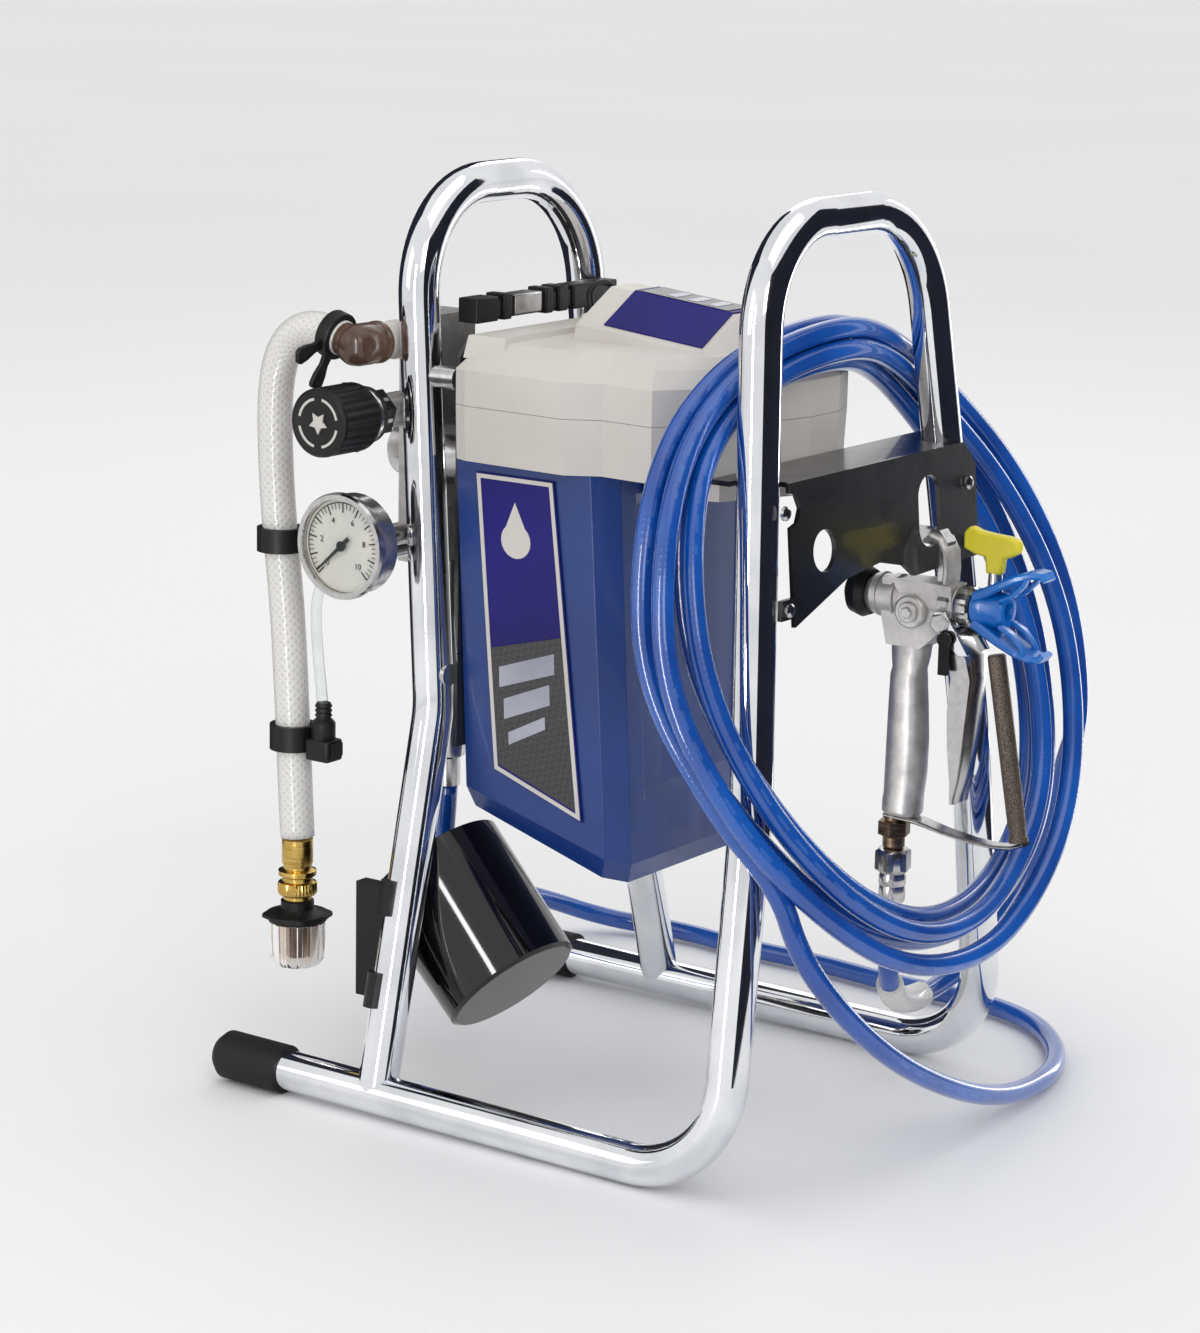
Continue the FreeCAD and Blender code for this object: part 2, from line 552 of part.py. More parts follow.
def make_controls():
    stem = size("shaft_od") / 2
    clear = size("shaft_clearance")
    radius = size("knob_od") / 2
    length = size("knob_length")
    keep(turned_body("pressure_knob", [(0, 0), (radius - 2.5, 0), (radius, 3), (radius, length - 10),
                                       (radius - 4, length), (stem, length), (stem, length + 14), (0,
                                           length + 14)],
                     (KNOB_FACE_X, *KNOB_AT), (1, 0, 0)), "pressure_knob")
    outer = size("gauge_od") / 2
    deep = size("gauge_depth")
    keep(turned_body("gauge_case", [(0, 3), (1.4, 3), (1.4, 6), (outer - 4, 6), (outer - 4, 0),
                                    (outer - 1, 0),
                                    (outer, 2), (outer, 5), (outer - 2, 7), (outer - 2, deep),
                                    (outer - 6, deep + 3),
                                    (7, deep + 3), (7, 91.9), (0, 91.9)],
                     (GAUGE_FACE_X, *GAUGE_AT), (1, 0, 0)), "gauge_case")
    keep(turned_body("gauge_dial", [(2.4, 5.0), (outer - 4.2, 5.0), (outer - 4.2, 5.9), (2.4, 5.9)],
                     (GAUGE_FACE_X, *GAUGE_AT), (1, 0, 0)), "gauge_dial")
    keep(turned_body("gauge_lens", [(0, 0.4), (outer - 4.2, 0.4), (outer - 4.2, 1.6), (0, 1.6)],
                     (GAUGE_FACE_X, *GAUGE_AT), (1, 0, 0)), "gauge_lens")
    hub = cylinder("needle_hub", "3.2", "0.7", (GAUGE_FACE_X + 2.1, *GAUGE_AT), (1, 0, 0))
    blade = Part.Face(Part.makePolygon([V(0, -1.4, 8), V(0, -0.5, -25), V(0, 0.5, -25), V(0, 1.4, 8),
                                        V(0, -1.4, 8)])).extrude(V(0.6, 0, 0))
    pointer = feature("needle_blade", blade)
    pointer.Placement = FreeCAD.Placement(V(GAUGE_FACE_X + 2.15, *GAUGE_AT), FreeCAD.Rotation(X_AXIS, 48))
    keep(fuse("gauge_needle", [hub, pointer]), "gauge_needle")
    # prime valve with its quarter-turn lever, on the bottom left of the pump block
    valve = turned_body("prime_barrel", [(stem + clear, 0), (10, 0), (10, 56), (7, 58), (stem + clear, 58)],
                        (BLOCK_LEFT_X - 0.3, 157, 345), (-1, 0, 0))
    barb = turned_body("drain_barb", [(0, 0), (4, 0), (4, 8), (3, 9), (3, 14), (0, 14)], (-112, 162.4, 340.2),
                       (0, 0.8, -0.6))
    keep(fuse("prime_valve", [valve, barb]), "prime_valve")
    bar = cylinder("prime_stem", "Sizes.shaft_od / 2", "24", (-101.5, 157, 345), (-1, 0, 0))
    arm = box("prime_arm", "5", "8", "24", (-127, 153, 339))
    keep(fuse("prime_lever", [bar, arm]), "prime_lever")
    # on/off rocker in the left wall of the control box behind the pump block
    control = box("control_body", "74", "34", "70", (-4, 120, 392))
    pocket = box("control_pocket", "12", "10", "22", (30, 146, 420))
    keep(cut("control_box", control, pocket), "control_box")
    rocker = doc.addObject("PartDesign::Body", "power_switch")
    sketch = sketch_on(rocker, "YZ_Plane", [[(149.6, 420.6), (154, 420.6), (156.4, 430), (154, 441.4),
                                             (149.6, 441.4)]])
    pad = rocker.newObject("PartDesign::Pad", "power_switch_pad")
    pad.Profile = sketch
    pad.setExpression("Length", "11.2")
    rocker.Placement = placed((30.4, 0.6, 0))
    keep(rocker, "power_switch")


# ---------------------------------------------------------------- suction side
SUCTION_X = -120.0
SUCTION_ROUTE = [(-120, 163, 478), (-120, 180, 483), (-120, 198, 480), (-120, 211, 466),
                 (-120, 217, 442), (-120, 217, 405), (-120, 214, 360), (-120, 207, 305),
                 (-120, 203.5, 250), (-120, 201, 200), (-120, 198.6, 157)]
CLAMP_AT = (-120, 164.4, 478.4)
HOSE_EXIT = (0, 0.9615, 0.2747)
HOSE_EXIT_RISE = math.degrees(math.atan2(HOSE_EXIT[2], HOSE_EXIT[1]))
DRAIN_ROUTE = [(-112, 173.9, 331.6), (-112, 181, 326.3), (-112, 188.5, 316), (-113, 190, 300),
               (-116, 185, 272), (-119, 179.5, 252), (-120, 178, 240)]


def make_suction():
    arm = cylinder("elbow_arm", "11.5", "74", (BLOCK_LEFT_X - 0.02, 152, 474.8), (-1, 0, 0))
    nozzle = cylinder("elbow_nozzle", "Sizes.suction_od / 2 - 1", "11.3", (-120, 152, 474.85), HOSE_EXIT)
    keep(fuse("suction_elbow", [arm, nozzle]), "suction_elbow")
    profile = [(11.6, 0), (15, 0), (15, 9), (11.6, 9)]
    ring = turned_body("clamp_ring", profile, CLAMP_AT, HOSE_EXIT)
    wing = box("clamp_wing", "8", "6", "24", (0, 0, 0))
    tilt = FreeCAD.Rotation(X_AXIS, HOSE_EXIT_RISE)
    wing.Placement = FreeCAD.Placement(V(*CLAMP_AT) + tilt.multVec(V(-4, 1.5, -36)), tilt)
    keep(fuse("suction_clamp", [ring, wing]), "suction_clamp")
    soft_tube("suction_hose", SUCTION_ROUTE, size("suction_od"))
    soft_tube("drain_tube", DRAIN_ROUTE, size("drain_od"))


def ring_at(name, z, low_r, high_r, length, y):
    return turned_body(name, [(low_r, 0), (high_r, 0), (high_r, length), (low_r, length)],
                       (SUCTION_X, y, z))


def make_suction_end():
    hose_r = size("suction_od") / 2
    keep(ring_at("upper_hose_clip", 340, hose_r + 0.6, hose_r + 4, 15, 212.4), "upper_hose_clip")
    clip = ring_at("clip_ring", 214, hose_r + 0.6, hose_r + 4, 16, 202.1)
    tongue = box("clip_tongue", "10", "26", "8", (SUCTION_X - 5, 166, 214))
    hose_hole = cylinder("clip_hole", "Sizes.suction_od / 2 + 0.6", "20", (SUCTION_X, 202.1, 212))
    keep(cut("lower_hose_clip", fuse("clip_solid", [clip, tongue]), hose_hole), "lower_hose_clip")
    keep(turned_body("drain_deflector", [(0, 0), (7, 0), (7, 17.5), (4.5, 20), (4.5, 24), (0, 24)],
                     (-120, 177.5, 222.2)), "drain_deflector")
    end_y = 198.6
    outer = size("coupling_od") / 2
    keep(turned_body("brass_coupling", [(0, 0), (outer, 0), (outer, -17), (outer - 1.5, -18),
                                        (outer - 1.5, -20),
                                        (outer + 2.5, -21), (outer + 2.5, -24), (outer, -25), (outer, -28),
                                        (outer + 2.5, -29), (outer + 2.5, -36), (outer - 1, -37),
                                        (outer - 1, -40),
                                        (0, -40)], (SUCTION_X, end_y, 155.8)), "brass_coupling")
    radius = size("strainer_od") / 2
    keep(turned_body("strainer_cap", [(0, 0), (11, 0), (11, -6), (radius + 3, -9), (radius + 3, -12),
                                      (radius + 1, -14), (0, -14)],
                     (SUCTION_X, end_y, 115.6)), "strainer_cap")
    keep(turned_body("strainer_cup", [(0, 0), (radius, 0), (radius - 1, -26), (radius - 4, -29), (0, -29)],
                     (SUCTION_X, end_y, 101.4)), "strainer_cup")


# ---------------------------------------------------------------- drip cup on the rear leg
CUP_AXIS = V(0.07, 0.72, 0.69).normalize()
CUP_FLOOR = V(-72, 62, 72)


def make_drip_cup():
    outer = size("cup_od") / 2
    length = size("cup_length")
    wall = size("cup_wall")
    profile = [(0, 0), (outer - 3, 0), (outer, 2), (outer + 2, length), (outer + 2 - wall, length),
               (outer - wall, wall + 1), (0, wall + 1)]
    keep(turned_body("drip_cup", profile, tuple(CUP_FLOOR), tuple(CUP_AXIS)), "drip_cup")


def make_cup_bracket():
    """Clamp block on the lower rear leg with a cradle rib beside the cup."""
    low, high = V(-rail_x, REAR_WELD[1], REAR_WELD[2]), V(-REAR_KNEE[0], REAR_KNEE[1], REAR_KNEE[2])
    leg = Part.makeCylinder(tube_r + 0.02, (high - low).Length, low, high - low)
    blocks = []
    for z in (66, 122):
        point = leg_point(mirrored(REAR_WELD), mirrored(REAR_KNEE), z)
        block = Part.makeCylinder(tube_r + 4, 22, point, high - low)
        blocks.append(block)
    rib = Part.makeBox(10, 34, 74, V(-126, 112, 64))
    front = Part.makeBox(120, 60, 130, V(-220, 47, 40))
    shape = blocks[0].fuse([blocks[1], rib]).cut([leg, front])
    cup = Part.makeCylinder(size("cup_od") / 2 + 2.5, size("cup_length") + 40, CUP_FLOOR - CUP_AXIS * 2,
                            CUP_AXIS)
    shape = max(shape.cut(cup).Solids, key=lambda solid: solid.Volume)
    keep(feature("cup_bracket", shape), "cup_bracket")


# ---------------------------------------------------------------- paint hose
HOSE_ROUTE = [(-24, 152, 179.6), (-23, 154, 152), (-14, 165, 120), (10, 186, 92), (52, 212, 74),
              (105, 236, 62), (165, 256, 50), (222, 254, 30), (262, 224, 10), (278, 170, 7.5),
              (270, 110, 7.5), (272, 45, 7.5), (263, -20, 7.5), (266, -80, 7.5), (252, -134, 7.5),
              (212, -176, 7.5), (160, -200, 7.5), (100, -208, 12), (42, -213, 27), (-14, -213, 50),
              (-68, -210, 80), (-112, -202, 117), (-142, -191, 157), (-151, -182, 197)]
TAIL_ROUTE = [(61, -133, 132.6), (61.5, -132, 106), (72, -126, 78), (98, -117, 56), (134, -110, 46),
              (172, -110, 48), (204, -121, 66), (222, -140, 104), (225, -157, 152), (211, -171, 200),
              (191, -174, 245)]


def coil_point(degrees):
    """Middle of the hanging bundle: behind the legs at the top, in front of them at the bottom."""
    angle = math.radians(degrees)
    side, height = math.sin(angle), math.cos(angle)
    x = size("coil_middle_x") + size("coil_radius") * side
    z = size("coil_middle_z") + size("coil_rise") * height
    clear_of_legs = (6 if height > 0 else -20) * min(1.0, 1.4 * abs(height))
    clear_of_nose = -30 * min(1.0, max(0.0, (height - 0.88) / 0.1))
    y = -138 + 54 * height - 15 * side * (1 - abs(height)) + clear_of_legs + clear_of_nose
    return (x, y, z)


def make_paint_hose():
    od = size("paint_hose_od")
    soft_tube("paint_hose_run", HOSE_ROUTE, od)
    soft_tube("paint_hose_tail", TAIL_ROUTE, od)
    ring = [coil_point(9 + 18 * step) for step in range(20)]
    first = tuple((V(*ring[0]) + V(*ring[-1])) * 0.5)
    route = [first] + ring + [first]
    radii = soft_radii([ring[-1]] + ring + [ring[0]])
    edges = bent_wire(route, radii).Edges
    half = len(edges) // 2
    arches = [piped(Part.Wire(run), size("coil_bundle")) for run in (edges[:half], edges[half:])]
    keep(feature("paint_hose_coil", arches[0].fuse(arches[1]).removeSplitter()), "paint_hose_coil")


# ---------------------------------------------------------------- spray gun
GUN_X = size("gun_x")
BARREL_Z = size("barrel_z")
TRIGGER_PIVOT = (-168.0, 318.0)


def plate_x(name, outline, width, x=GUN_X):
    """A flat piece in the gun's own plane: (y, z) outline, spread evenly to both sides of x."""
    face = Part.Face(Part.makePolygon([V(x - width / 2, y, z) for y, z in outline + outline[:1]]))
    return face.extrude(V(width, 0, 0))


def make_gun():
    axis = (0, -1, 0)
    barrel = turned_body("barrel", [(0, 0), (11, 0), (13, 4), (13, 20), (11, 24), (11, 58), (9, 62), (0, 62)],
                         (GUN_X, -112, BARREL_Z), axis)
    head = feature("gun_head", plate_x("head", [(-124, 316), (-124, 340), (-150, 341), (-172, 340),
                                                (-173.8, 322),
                                                (-160, 306), (-152, 299), (-128, 299)], 20))
    slot_cut = feature("trigger_slot", Part.makeCylinder(5.05, 60, V(GUN_X - 30, *TRIGGER_PIVOT), X_AXIS))
    keep(cut("gun_body", fuse("gun_casting", [barrel, head]), slot_cut), "gun_body")
    cap = turned_body("needle_cap", [(0, 0), (14, 0), (16, 5), (14, 12), (8, 16), (0, 16)],
                      (GUN_X, -111.8, BARREL_Z), (0, 1, 0))
    keep(cap, "gun_end_cap")
    handle = plate_x("handle", [(-128, 298.8), (-153, 298.8), (-151, 270), (-154, 240), (-151, 191),
                                (-126, 191),
                                (-127, 240), (-124, 270)], size("handle_width"))
    upright = [edge for edge in handle.Edges if abs(edge.tangentAt(edge.FirstParameter).z) > 0.8]
    handle = handle.makeFillet(5, upright)
    keep(feature("gun_handle", handle), "gun_handle")
    hook = plate_x("hook", [(-160, 341.5), (-166, 341.5), (-166, 366), (-160, 373), (-141, 373), (-136, 368),
                            (-136, 352), (-141, 352), (-141, 363.9), (-160, 363.9)], 10)
    keep(feature("gun_hook", hook), "gun_hook")
    guard_low = plate_x("guard_low", [(-151, 190.8), (-151, 184), (-222, 180), (-228, 186), (-226, 192),
                                      (-219, 187), (-160, 190.8)], 12)
    top, low = V(GUN_X, -200, 300.5), V(GUN_X, -222, 192.5)
    post = Part.makeCylinder(5.5, (top - low).Length, low, top - low)
    keep(feature("trigger_guard", guard_low.fuse(post)), "trigger_guard")
    pivot_y, pivot_z = TRIGGER_PIVOT
    sides = []
    for side in (-1, 1):
        sides.append(plate_x("cheek", [(pivot_y + 6, pivot_z + 6), (pivot_y - 5, pivot_z + 6), (-190, 303),
                                       (-191, 290), (-184, 206), (-178, 206), (-180, 290), (-166, 305)],
                             2, GUN_X + side * 14.2))
    front_edge = [(-188, 300), (-191, 290), (-184, 206), (-180.5, 206), (-187, 290), (-185, 300)]
    front = plate_x("trigger_front", front_edge, 30.4)
    pin = Part.makeCylinder(5, 30, V(GUN_X - 15, *TRIGGER_PIVOT), X_AXIS)
    keep(feature("gun_trigger", sides[0].fuse([sides[1], front, pin])), "gun_trigger")
    keep(make_trigger_lock(), "trigger_lock")
    nut = turned_body("tip_nut", [(7.2, 0), (11.6, 0), (12.6, 3), (12.6, 8), (11.4, 10.4), (7.2, 10.4)],
                      (GUN_X, -174.3, BARREL_Z), axis)
    keep(nut, "tip_nut")
    keep(feature("tip_guard", make_tip_guard()), "tip_guard")
    stem = cylinder("tip_barrel", "4.95", "24", (GUN_X, -197, BARREL_Z - 10))
    neck = cylinder("tip_neck", "3.5", "24", (GUN_X, -197, BARREL_Z + 13))
    outline = [(-170, 368), (-173, 377), (-190, 375), (-204, 372), (-215, 371), (-216, 363),
               (-206, 361), (-200, 360.5), (-188, 360.5), (-182, 365)]
    grip = feature("tip_grip", plate_x("grip", outline, 7))
    keep(fuse("spray_tip", [stem, neck, grip]), "spray_tip")
    profile = [(0, 0), (6.5, 0), (6.5, -4), (9, -5), (9, -14), (7, -15), (7, -22), (0, -22)]
    keep(turned_body("inlet_swivel", profile, (GUN_X, -133, 190.4)), "inlet_swivel")
    keep(turned_body("hose_nut", [(0, 0), (8, 0), (10, -2), (10, -14), (8, -16), (8, -35), (0, -35)],
                     (GUN_X, -133, 168)), "hose_nut")


def make_trigger_lock():
    """Turned hub with a short arm, beside the trigger."""
    pivot = (GUN_X - 18.6, TRIGGER_PIVOT[0] - 5, TRIGGER_PIVOT[1] - 9)
    arm = box("lock_arm", "3", "6", "22", (pivot[0], pivot[1] - 3, pivot[2] - 22))
    hub = cylinder("lock_hub", "4.5", "3", pivot, (1, 0, 0))
    return fuse("trigger_lock", [arm, hub])


def make_tip_guard():
    """Tip holder with two swept wings, bored for the tip."""
    body = Part.makeCylinder(12, 22, V(GUN_X, -185, BARREL_Z), V(0, -1, 0))
    wings = []
    for side in (-1, 1):
        wings.append(plate_x("wing", [(-190, BARREL_Z + side * 8), (-204, BARREL_Z + side * 10),
                                      (-226, BARREL_Z + side * 22), (-236, BARREL_Z + side * 22),
                                      (-238, BARREL_Z + side * 28), (-222, BARREL_Z + side * 30),
                                      (-196, BARREL_Z + side * 18)], 22))
    shape = body.fuse(wings).cut(Part.makeCylinder(5.0, 80, V(GUN_X, -197, BARREL_Z - 40), Z_AXIS))
    shape = shape.cut(Part.makeBox(9, 34, 14, V(GUN_X - 4.5, -214, BARREL_Z + 17)))
    shape = shape.cut(Part.makeCylinder(4, 60, V(GUN_X, -180, BARREL_Z), V(0, -1, 0)))
    return max(shape.removeSplitter().Solids, key=lambda solid: solid.Volume)


def build():
    make_front_frame()
    make_rear_loop()
    make_foot_cap(-1, "left_foot_cap")
    make_foot_cap(1, "right_foot_cap")
    make_front_bracket()
    make_bracket_screws()
    make_rear_cross_bar()
    make_back_plate()
    make_plate_spacers()
    make_motor_cover()
    make_lower_housing()
    make_top_cover()
    make_badges()
    make_motor()
    make_gear_case()
    make_crank_gear()
    make_pump()
    make_controls()
    make_suction()
    make_suction_end()
    make_drip_cup()
    make_cup_bracket()
    make_paint_hose()
    make_gun()


def check_and_write():
    doc.recompute()
    for obj in doc.Objects:
        if "Invalid" in obj.State or "Error" in obj.State:
            raise RuntimeError("%s failed: %s" % (obj.Label, obj.State))
    for obj in parts:
        if obj.Shape.isNull() or not obj.Shape.isValid() or not obj.Shape.Solids:
            raise RuntimeError("%s has no valid solid" % obj.Label)
    os.makedirs("parts", exist_ok=True)
    for obj in parts:
        obj.Shape.exportStep("parts/%s.step" % obj.Label)
    print("%d nodes written" % len(parts))


build()
check_and_write()
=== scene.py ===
import json
import math

import bpy
from mathutils import Matrix, Vector


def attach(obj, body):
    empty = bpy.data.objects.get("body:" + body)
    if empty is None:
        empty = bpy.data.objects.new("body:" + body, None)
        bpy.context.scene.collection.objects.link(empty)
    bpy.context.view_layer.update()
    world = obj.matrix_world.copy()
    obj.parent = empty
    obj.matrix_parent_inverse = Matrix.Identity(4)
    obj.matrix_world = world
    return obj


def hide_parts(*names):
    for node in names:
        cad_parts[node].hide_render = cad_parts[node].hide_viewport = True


MM = 0.001

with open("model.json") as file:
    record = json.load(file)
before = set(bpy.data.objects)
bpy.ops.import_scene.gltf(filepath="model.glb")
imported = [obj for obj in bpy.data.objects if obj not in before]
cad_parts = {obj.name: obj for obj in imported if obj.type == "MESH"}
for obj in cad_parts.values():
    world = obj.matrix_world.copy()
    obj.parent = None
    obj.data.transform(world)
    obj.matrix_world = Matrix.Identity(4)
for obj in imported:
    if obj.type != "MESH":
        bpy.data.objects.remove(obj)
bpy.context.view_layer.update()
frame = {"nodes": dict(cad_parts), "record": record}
nodes = frame["nodes"]


# ------------ camera

CAMERA_PLACE = (-1.8824, -1.2594, 0.7775)
CAMERA_AZIMUTH = -55.17
CAMERA_PITCH = 12.53
CAMERA_ROLL = 1.10
LENS_MM = 111.34
SENSOR_MM = 36.0


def make_camera():
    """The camera from its angles. At azimuth 0 it stands on the -Y side and looks toward +Y."""
    azimuth, pitch, roll = map(math.radians, (CAMERA_AZIMUTH, CAMERA_PITCH, CAMERA_ROLL))
    back = Vector(
        (
            math.sin(azimuth) * math.cos(pitch),
            -math.cos(azimuth) * math.cos(pitch),
            math.sin(pitch),
        )
    )
    right = Vector((math.cos(azimuth), math.sin(azimuth), 0))
    up = back.cross(right)
    tilted_right = right * math.cos(roll) + up * math.sin(roll)
    tilted_up = up * math.cos(roll) - right * math.sin(roll)
    turn = Matrix((tilted_right, tilted_up, back)).transposed().to_4x4()
    data = bpy.data.cameras.new("camera")
    data.lens = LENS_MM
    data.sensor_width = SENSOR_MM
    data.sensor_fit = "HORIZONTAL"
    data.clip_start, data.clip_end = 0.05, 200
    camera = bpy.data.objects.new("camera", data)
    camera.matrix_world = Matrix.Translation(CAMERA_PLACE) @ turn
    bpy.context.scene.collection.objects.link(camera)
    bpy.context.scene.camera = camera


make_camera()


# ------------ curves and meshes


def link(name, data):
    made = bpy.data.objects.new(name, data)
    bpy.context.scene.collection.objects.link(made)
    return made


def spline_curve(name, points, diameter):
    """A smooth cord: one open NURBS spline through the route's points, in millimetres."""
    curve = bpy.data.curves.new(name, "CURVE")
    curve.dimensions = "3D"
    curve.resolution_u = 12
    curve.bevel_resolution = 6
    curve.use_fill_caps = True
    spline = curve.splines.new("NURBS")
    spline.points.add(len(points) - 1)
    for made, (x, y, z) in zip(spline.points, points):
        made.co = (x * MM, y * MM, z * MM, 1)
    spline.order_u = 3
    spline.use_endpoint_u = True
    curve.bevel_depth = diameter / 2
    return curve


def line_of(points, fine=12):
    """The points of the route's own spline, in metres."""
    curve = spline_curve("line", points, 0)
    curve.resolution_u = fine
    holder = link("line", curve)
    mesh = bpy.data.meshes.new_from_object(holder)
    line = [v.co.copy() for v in mesh.vertices]
    bpy.data.objects.remove(holder)
    bpy.data.curves.remove(curve)
    bpy.data.meshes.remove(mesh)
    return line


def frames_along(line):
    """For each point: how far along it is, and two directions across the line that don't twist."""
    tangents = []
    for i in range(len(line)):
        ahead = line[min(i + 1, len(line) - 1)] - line[max(i - 1, 0)]
        tangents.append(ahead.normalized())
    side = tangents[0].orthogonal().normalized()
    far, found = 0.0, []
    for i, tangent in enumerate(tangents):
        if i:
            far += (line[i] - line[i - 1]).length
        side = (side - tangent * side.dot(tangent)).normalized()
        found.append((far, side.copy(), tangent.cross(side)))
    return found


def mesh_object(name, verts, faces, smooth=True, uvs=None):
    """A new object from points in metres. uvs holds one pair for each corner of each face."""
    mesh = bpy.data.meshes.new(name)
    mesh.from_pydata([tuple(v) for v in verts], [], faces)
    mesh.validate()
    if uvs is not None:
        layer = mesh.uv_layers.new(name="UVMap")
        for loop in mesh.loops:
            layer.data[loop.index].uv = uvs[loop.index]
    mesh.polygons.foreach_set("use_smooth", [smooth] * len(mesh.polygons))
    mesh.update()
    return link(name, mesh)


def tube(name, line, radius, sides=20):
    """A round tube along a line, whose UV map runs round it and along it in metres."""
    across = frames_along(line)
    radius_at = radius if callable(radius) else (lambda far: radius)
    verts, faces, uvs = [], [], []
    for centre, (far, side, up) in zip(line, across):
        size = radius_at(far)
        for k in range(sides):
            angle = 2 * math.pi * k / sides
            verts.append(centre + (side * math.cos(angle) + up * math.sin(angle)) * size)
    for i in range(len(line) - 1):
        for k in range(sides):
            n = (k + 1) % sides
            faces.append(
                (i * sides + k, i * sides + n, (i + 1) * sides + n, (i + 1) * sides + k)
            )
            u, v = k / sides, (k + 1) / sides
            uvs += [
                (u, across[i][0]),
                (v, across[i][0]),
                (v, across[i + 1][0]),
                (u, across[i + 1][0]),
            ]
    for start, turn in ((0, -1), ((len(line) - 1) * sides, 1)):
        ring = list(range(start, start + sides))[::turn]
        faces.append(tuple(ring))
        uvs += [(0.5, 0.0)] * sides
    return mesh_object(name, verts, faces, uvs=uvs)


# ------------ cords

SUCTION_ROUTE = [
    (-120, 163, 478), (-120, 180, 483), (-120, 198, 480), (-120, 211, 466), (-120, 217, 442),
    (-120, 217, 405), (-120, 214, 360), (-120, 207, 305), (-120, 203.5, 250), (-120, 201, 200),
    (-120, 198.6, 157),
]
DRAIN_ROUTE = [
    (-112, 173.9, 331.6), (-112, 181, 326.3), (-112, 188.5, 316), (-113, 190, 300),
    (-116, 185, 272), (-119, 179.5, 252), (-120, 178, 240),
]
HOSE_ROUTE = [
    (-24, 152, 179.6), (-23, 154, 152), (-14, 165, 120), (10, 186, 92), (52, 212, 74),
    (105, 236, 62), (165, 256, 50), (222, 254, 30), (262, 224, 10), (278, 170, 7.5),
    (270, 110, 7.5), (272, 45, 7.5), (263, -20, 7.5), (266, -80, 7.5), (252, -134, 7.5),
    (212, -176, 7.5), (160, -200, 7.5), (100, -208, 12), (42, -213, 27), (-14, -213, 50),
    (-68, -210, 80), (-112, -202, 117), (-142, -191, 157), (-151, -182, 197),
]
TAIL_ROUTE = [
    (61, -133, 132.6), (61.5, -132, 106), (72, -126, 78), (98, -117, 56), (134, -110, 46),
    (172, -110, 48), (204, -121, 66), (222, -140, 104), (225, -157, 152), (211, -171, 200),
]
HOSE_DIAMETER = 0.013
SUCTION_DIAMETER = 0.022
DRAIN_DIAMETER = 0.007

# The coil, in degrees from its top clockwise toward +X, and in mm.
FIRST_TURN = -112.5
LAST_TURN = 1552.5
TURN_STEP = 22.5
PACK_RADIUS = 11.4
COIL_CENTRE = (9, -138, 312.5)
COIL_HALF_WIDTH = 187
COIL_HALF_HEIGHT = 178
COIL_LEAN = 54
TURN_SIZES = (-1.0, 0.1, -0.4, 0.7, 1.2, 1.5)
FAN_REACH = 8


def ring_middle(degrees):
    """The middle of the bundle of turns, which leans back at the top and clears the gun."""
    angle = math.radians(degrees)
    s, h = math.sin(angle), math.cos(angle)
    clear_of_legs = (6 if h > 0 else -20) * min(1, 1.4 * abs(h))
    clear_of_nose = -30 * min(1, max(0, (h - 0.88) / 0.1))
    x, y, z = COIL_CENTRE
    y = y + COIL_LEAN * h - 15 * s * (1 - abs(h)) + clear_of_legs + clear_of_nose
    return Vector((x + COIL_HALF_WIDTH * s, y, z + COIL_HALF_HEIGHT * h))


def turn_point(degrees):
    """One point of the coil. Five turns lie round the bundle's middle and fan out at the sides."""
    passed = (degrees + 135) / 360
    whole = math.floor(passed)
    change = max(0, (passed - whole - 0.75) / 0.25)
    turn = whole + change * change * (3 - 2 * change)
    slot_angle = math.radians(72 * turn) + 0.6
    angle = math.radians(degrees)
    s, h = math.sin(angle), math.cos(angle)
    low, left, right = max(0, -h) ** 3, max(0, -s) ** 8, max(0, s) ** 4
    spread = PACK_RADIUS * (1 + 0.4 * low + 0.9 * left + 0.6 * right)
    step = int(turn)
    size = TURN_SIZES[step] * (1 - turn + step) + TURN_SIZES[min(5, step + 1)] * (turn - step)
    radial = spread * math.cos(slot_angle) + size * (FAN_REACH * (left + right) + 4 * low)
    outward = Vector((s, 0, h))
    return ring_middle(degrees) + outward * radial + Vector((0, spread * math.sin(slot_angle), 0))


def coil_points():
    """The coil's route, from the end of the run to the start of the tail."""
    count = int((LAST_TURN - FIRST_TURN) / TURN_STEP) + 1
    return [tuple(turn_point(FIRST_TURN + TURN_STEP * i)) for i in range(count)]


hose_line = line_of(HOSE_ROUTE + coil_points() + TAIL_ROUTE[::-1], 8)
hose = tube("paint_hose", hose_line, HOSE_DIAMETER / 2, 18)
suction_line = line_of(SUCTION_ROUTE, 16)
suction = tube("suction_hose_braid", suction_line, SUCTION_DIAMETER / 2, 32)
drain_line = line_of(DRAIN_ROUTE)
drain = tube("drain_tube_clear", drain_line, DRAIN_DIAMETER / 2, 16)


# ------------ materials

BRAID_STRANDS = 13
BRAID_CROSSINGS_PER_METRE = 190
PRINT_DASHES_PER_METRE = 55.0
PRINT_GROUPS_PER_METRE = 4.1
HOSE_RIPPLES_PER_METRE = 260
WEAVE_SCALE = 420.0


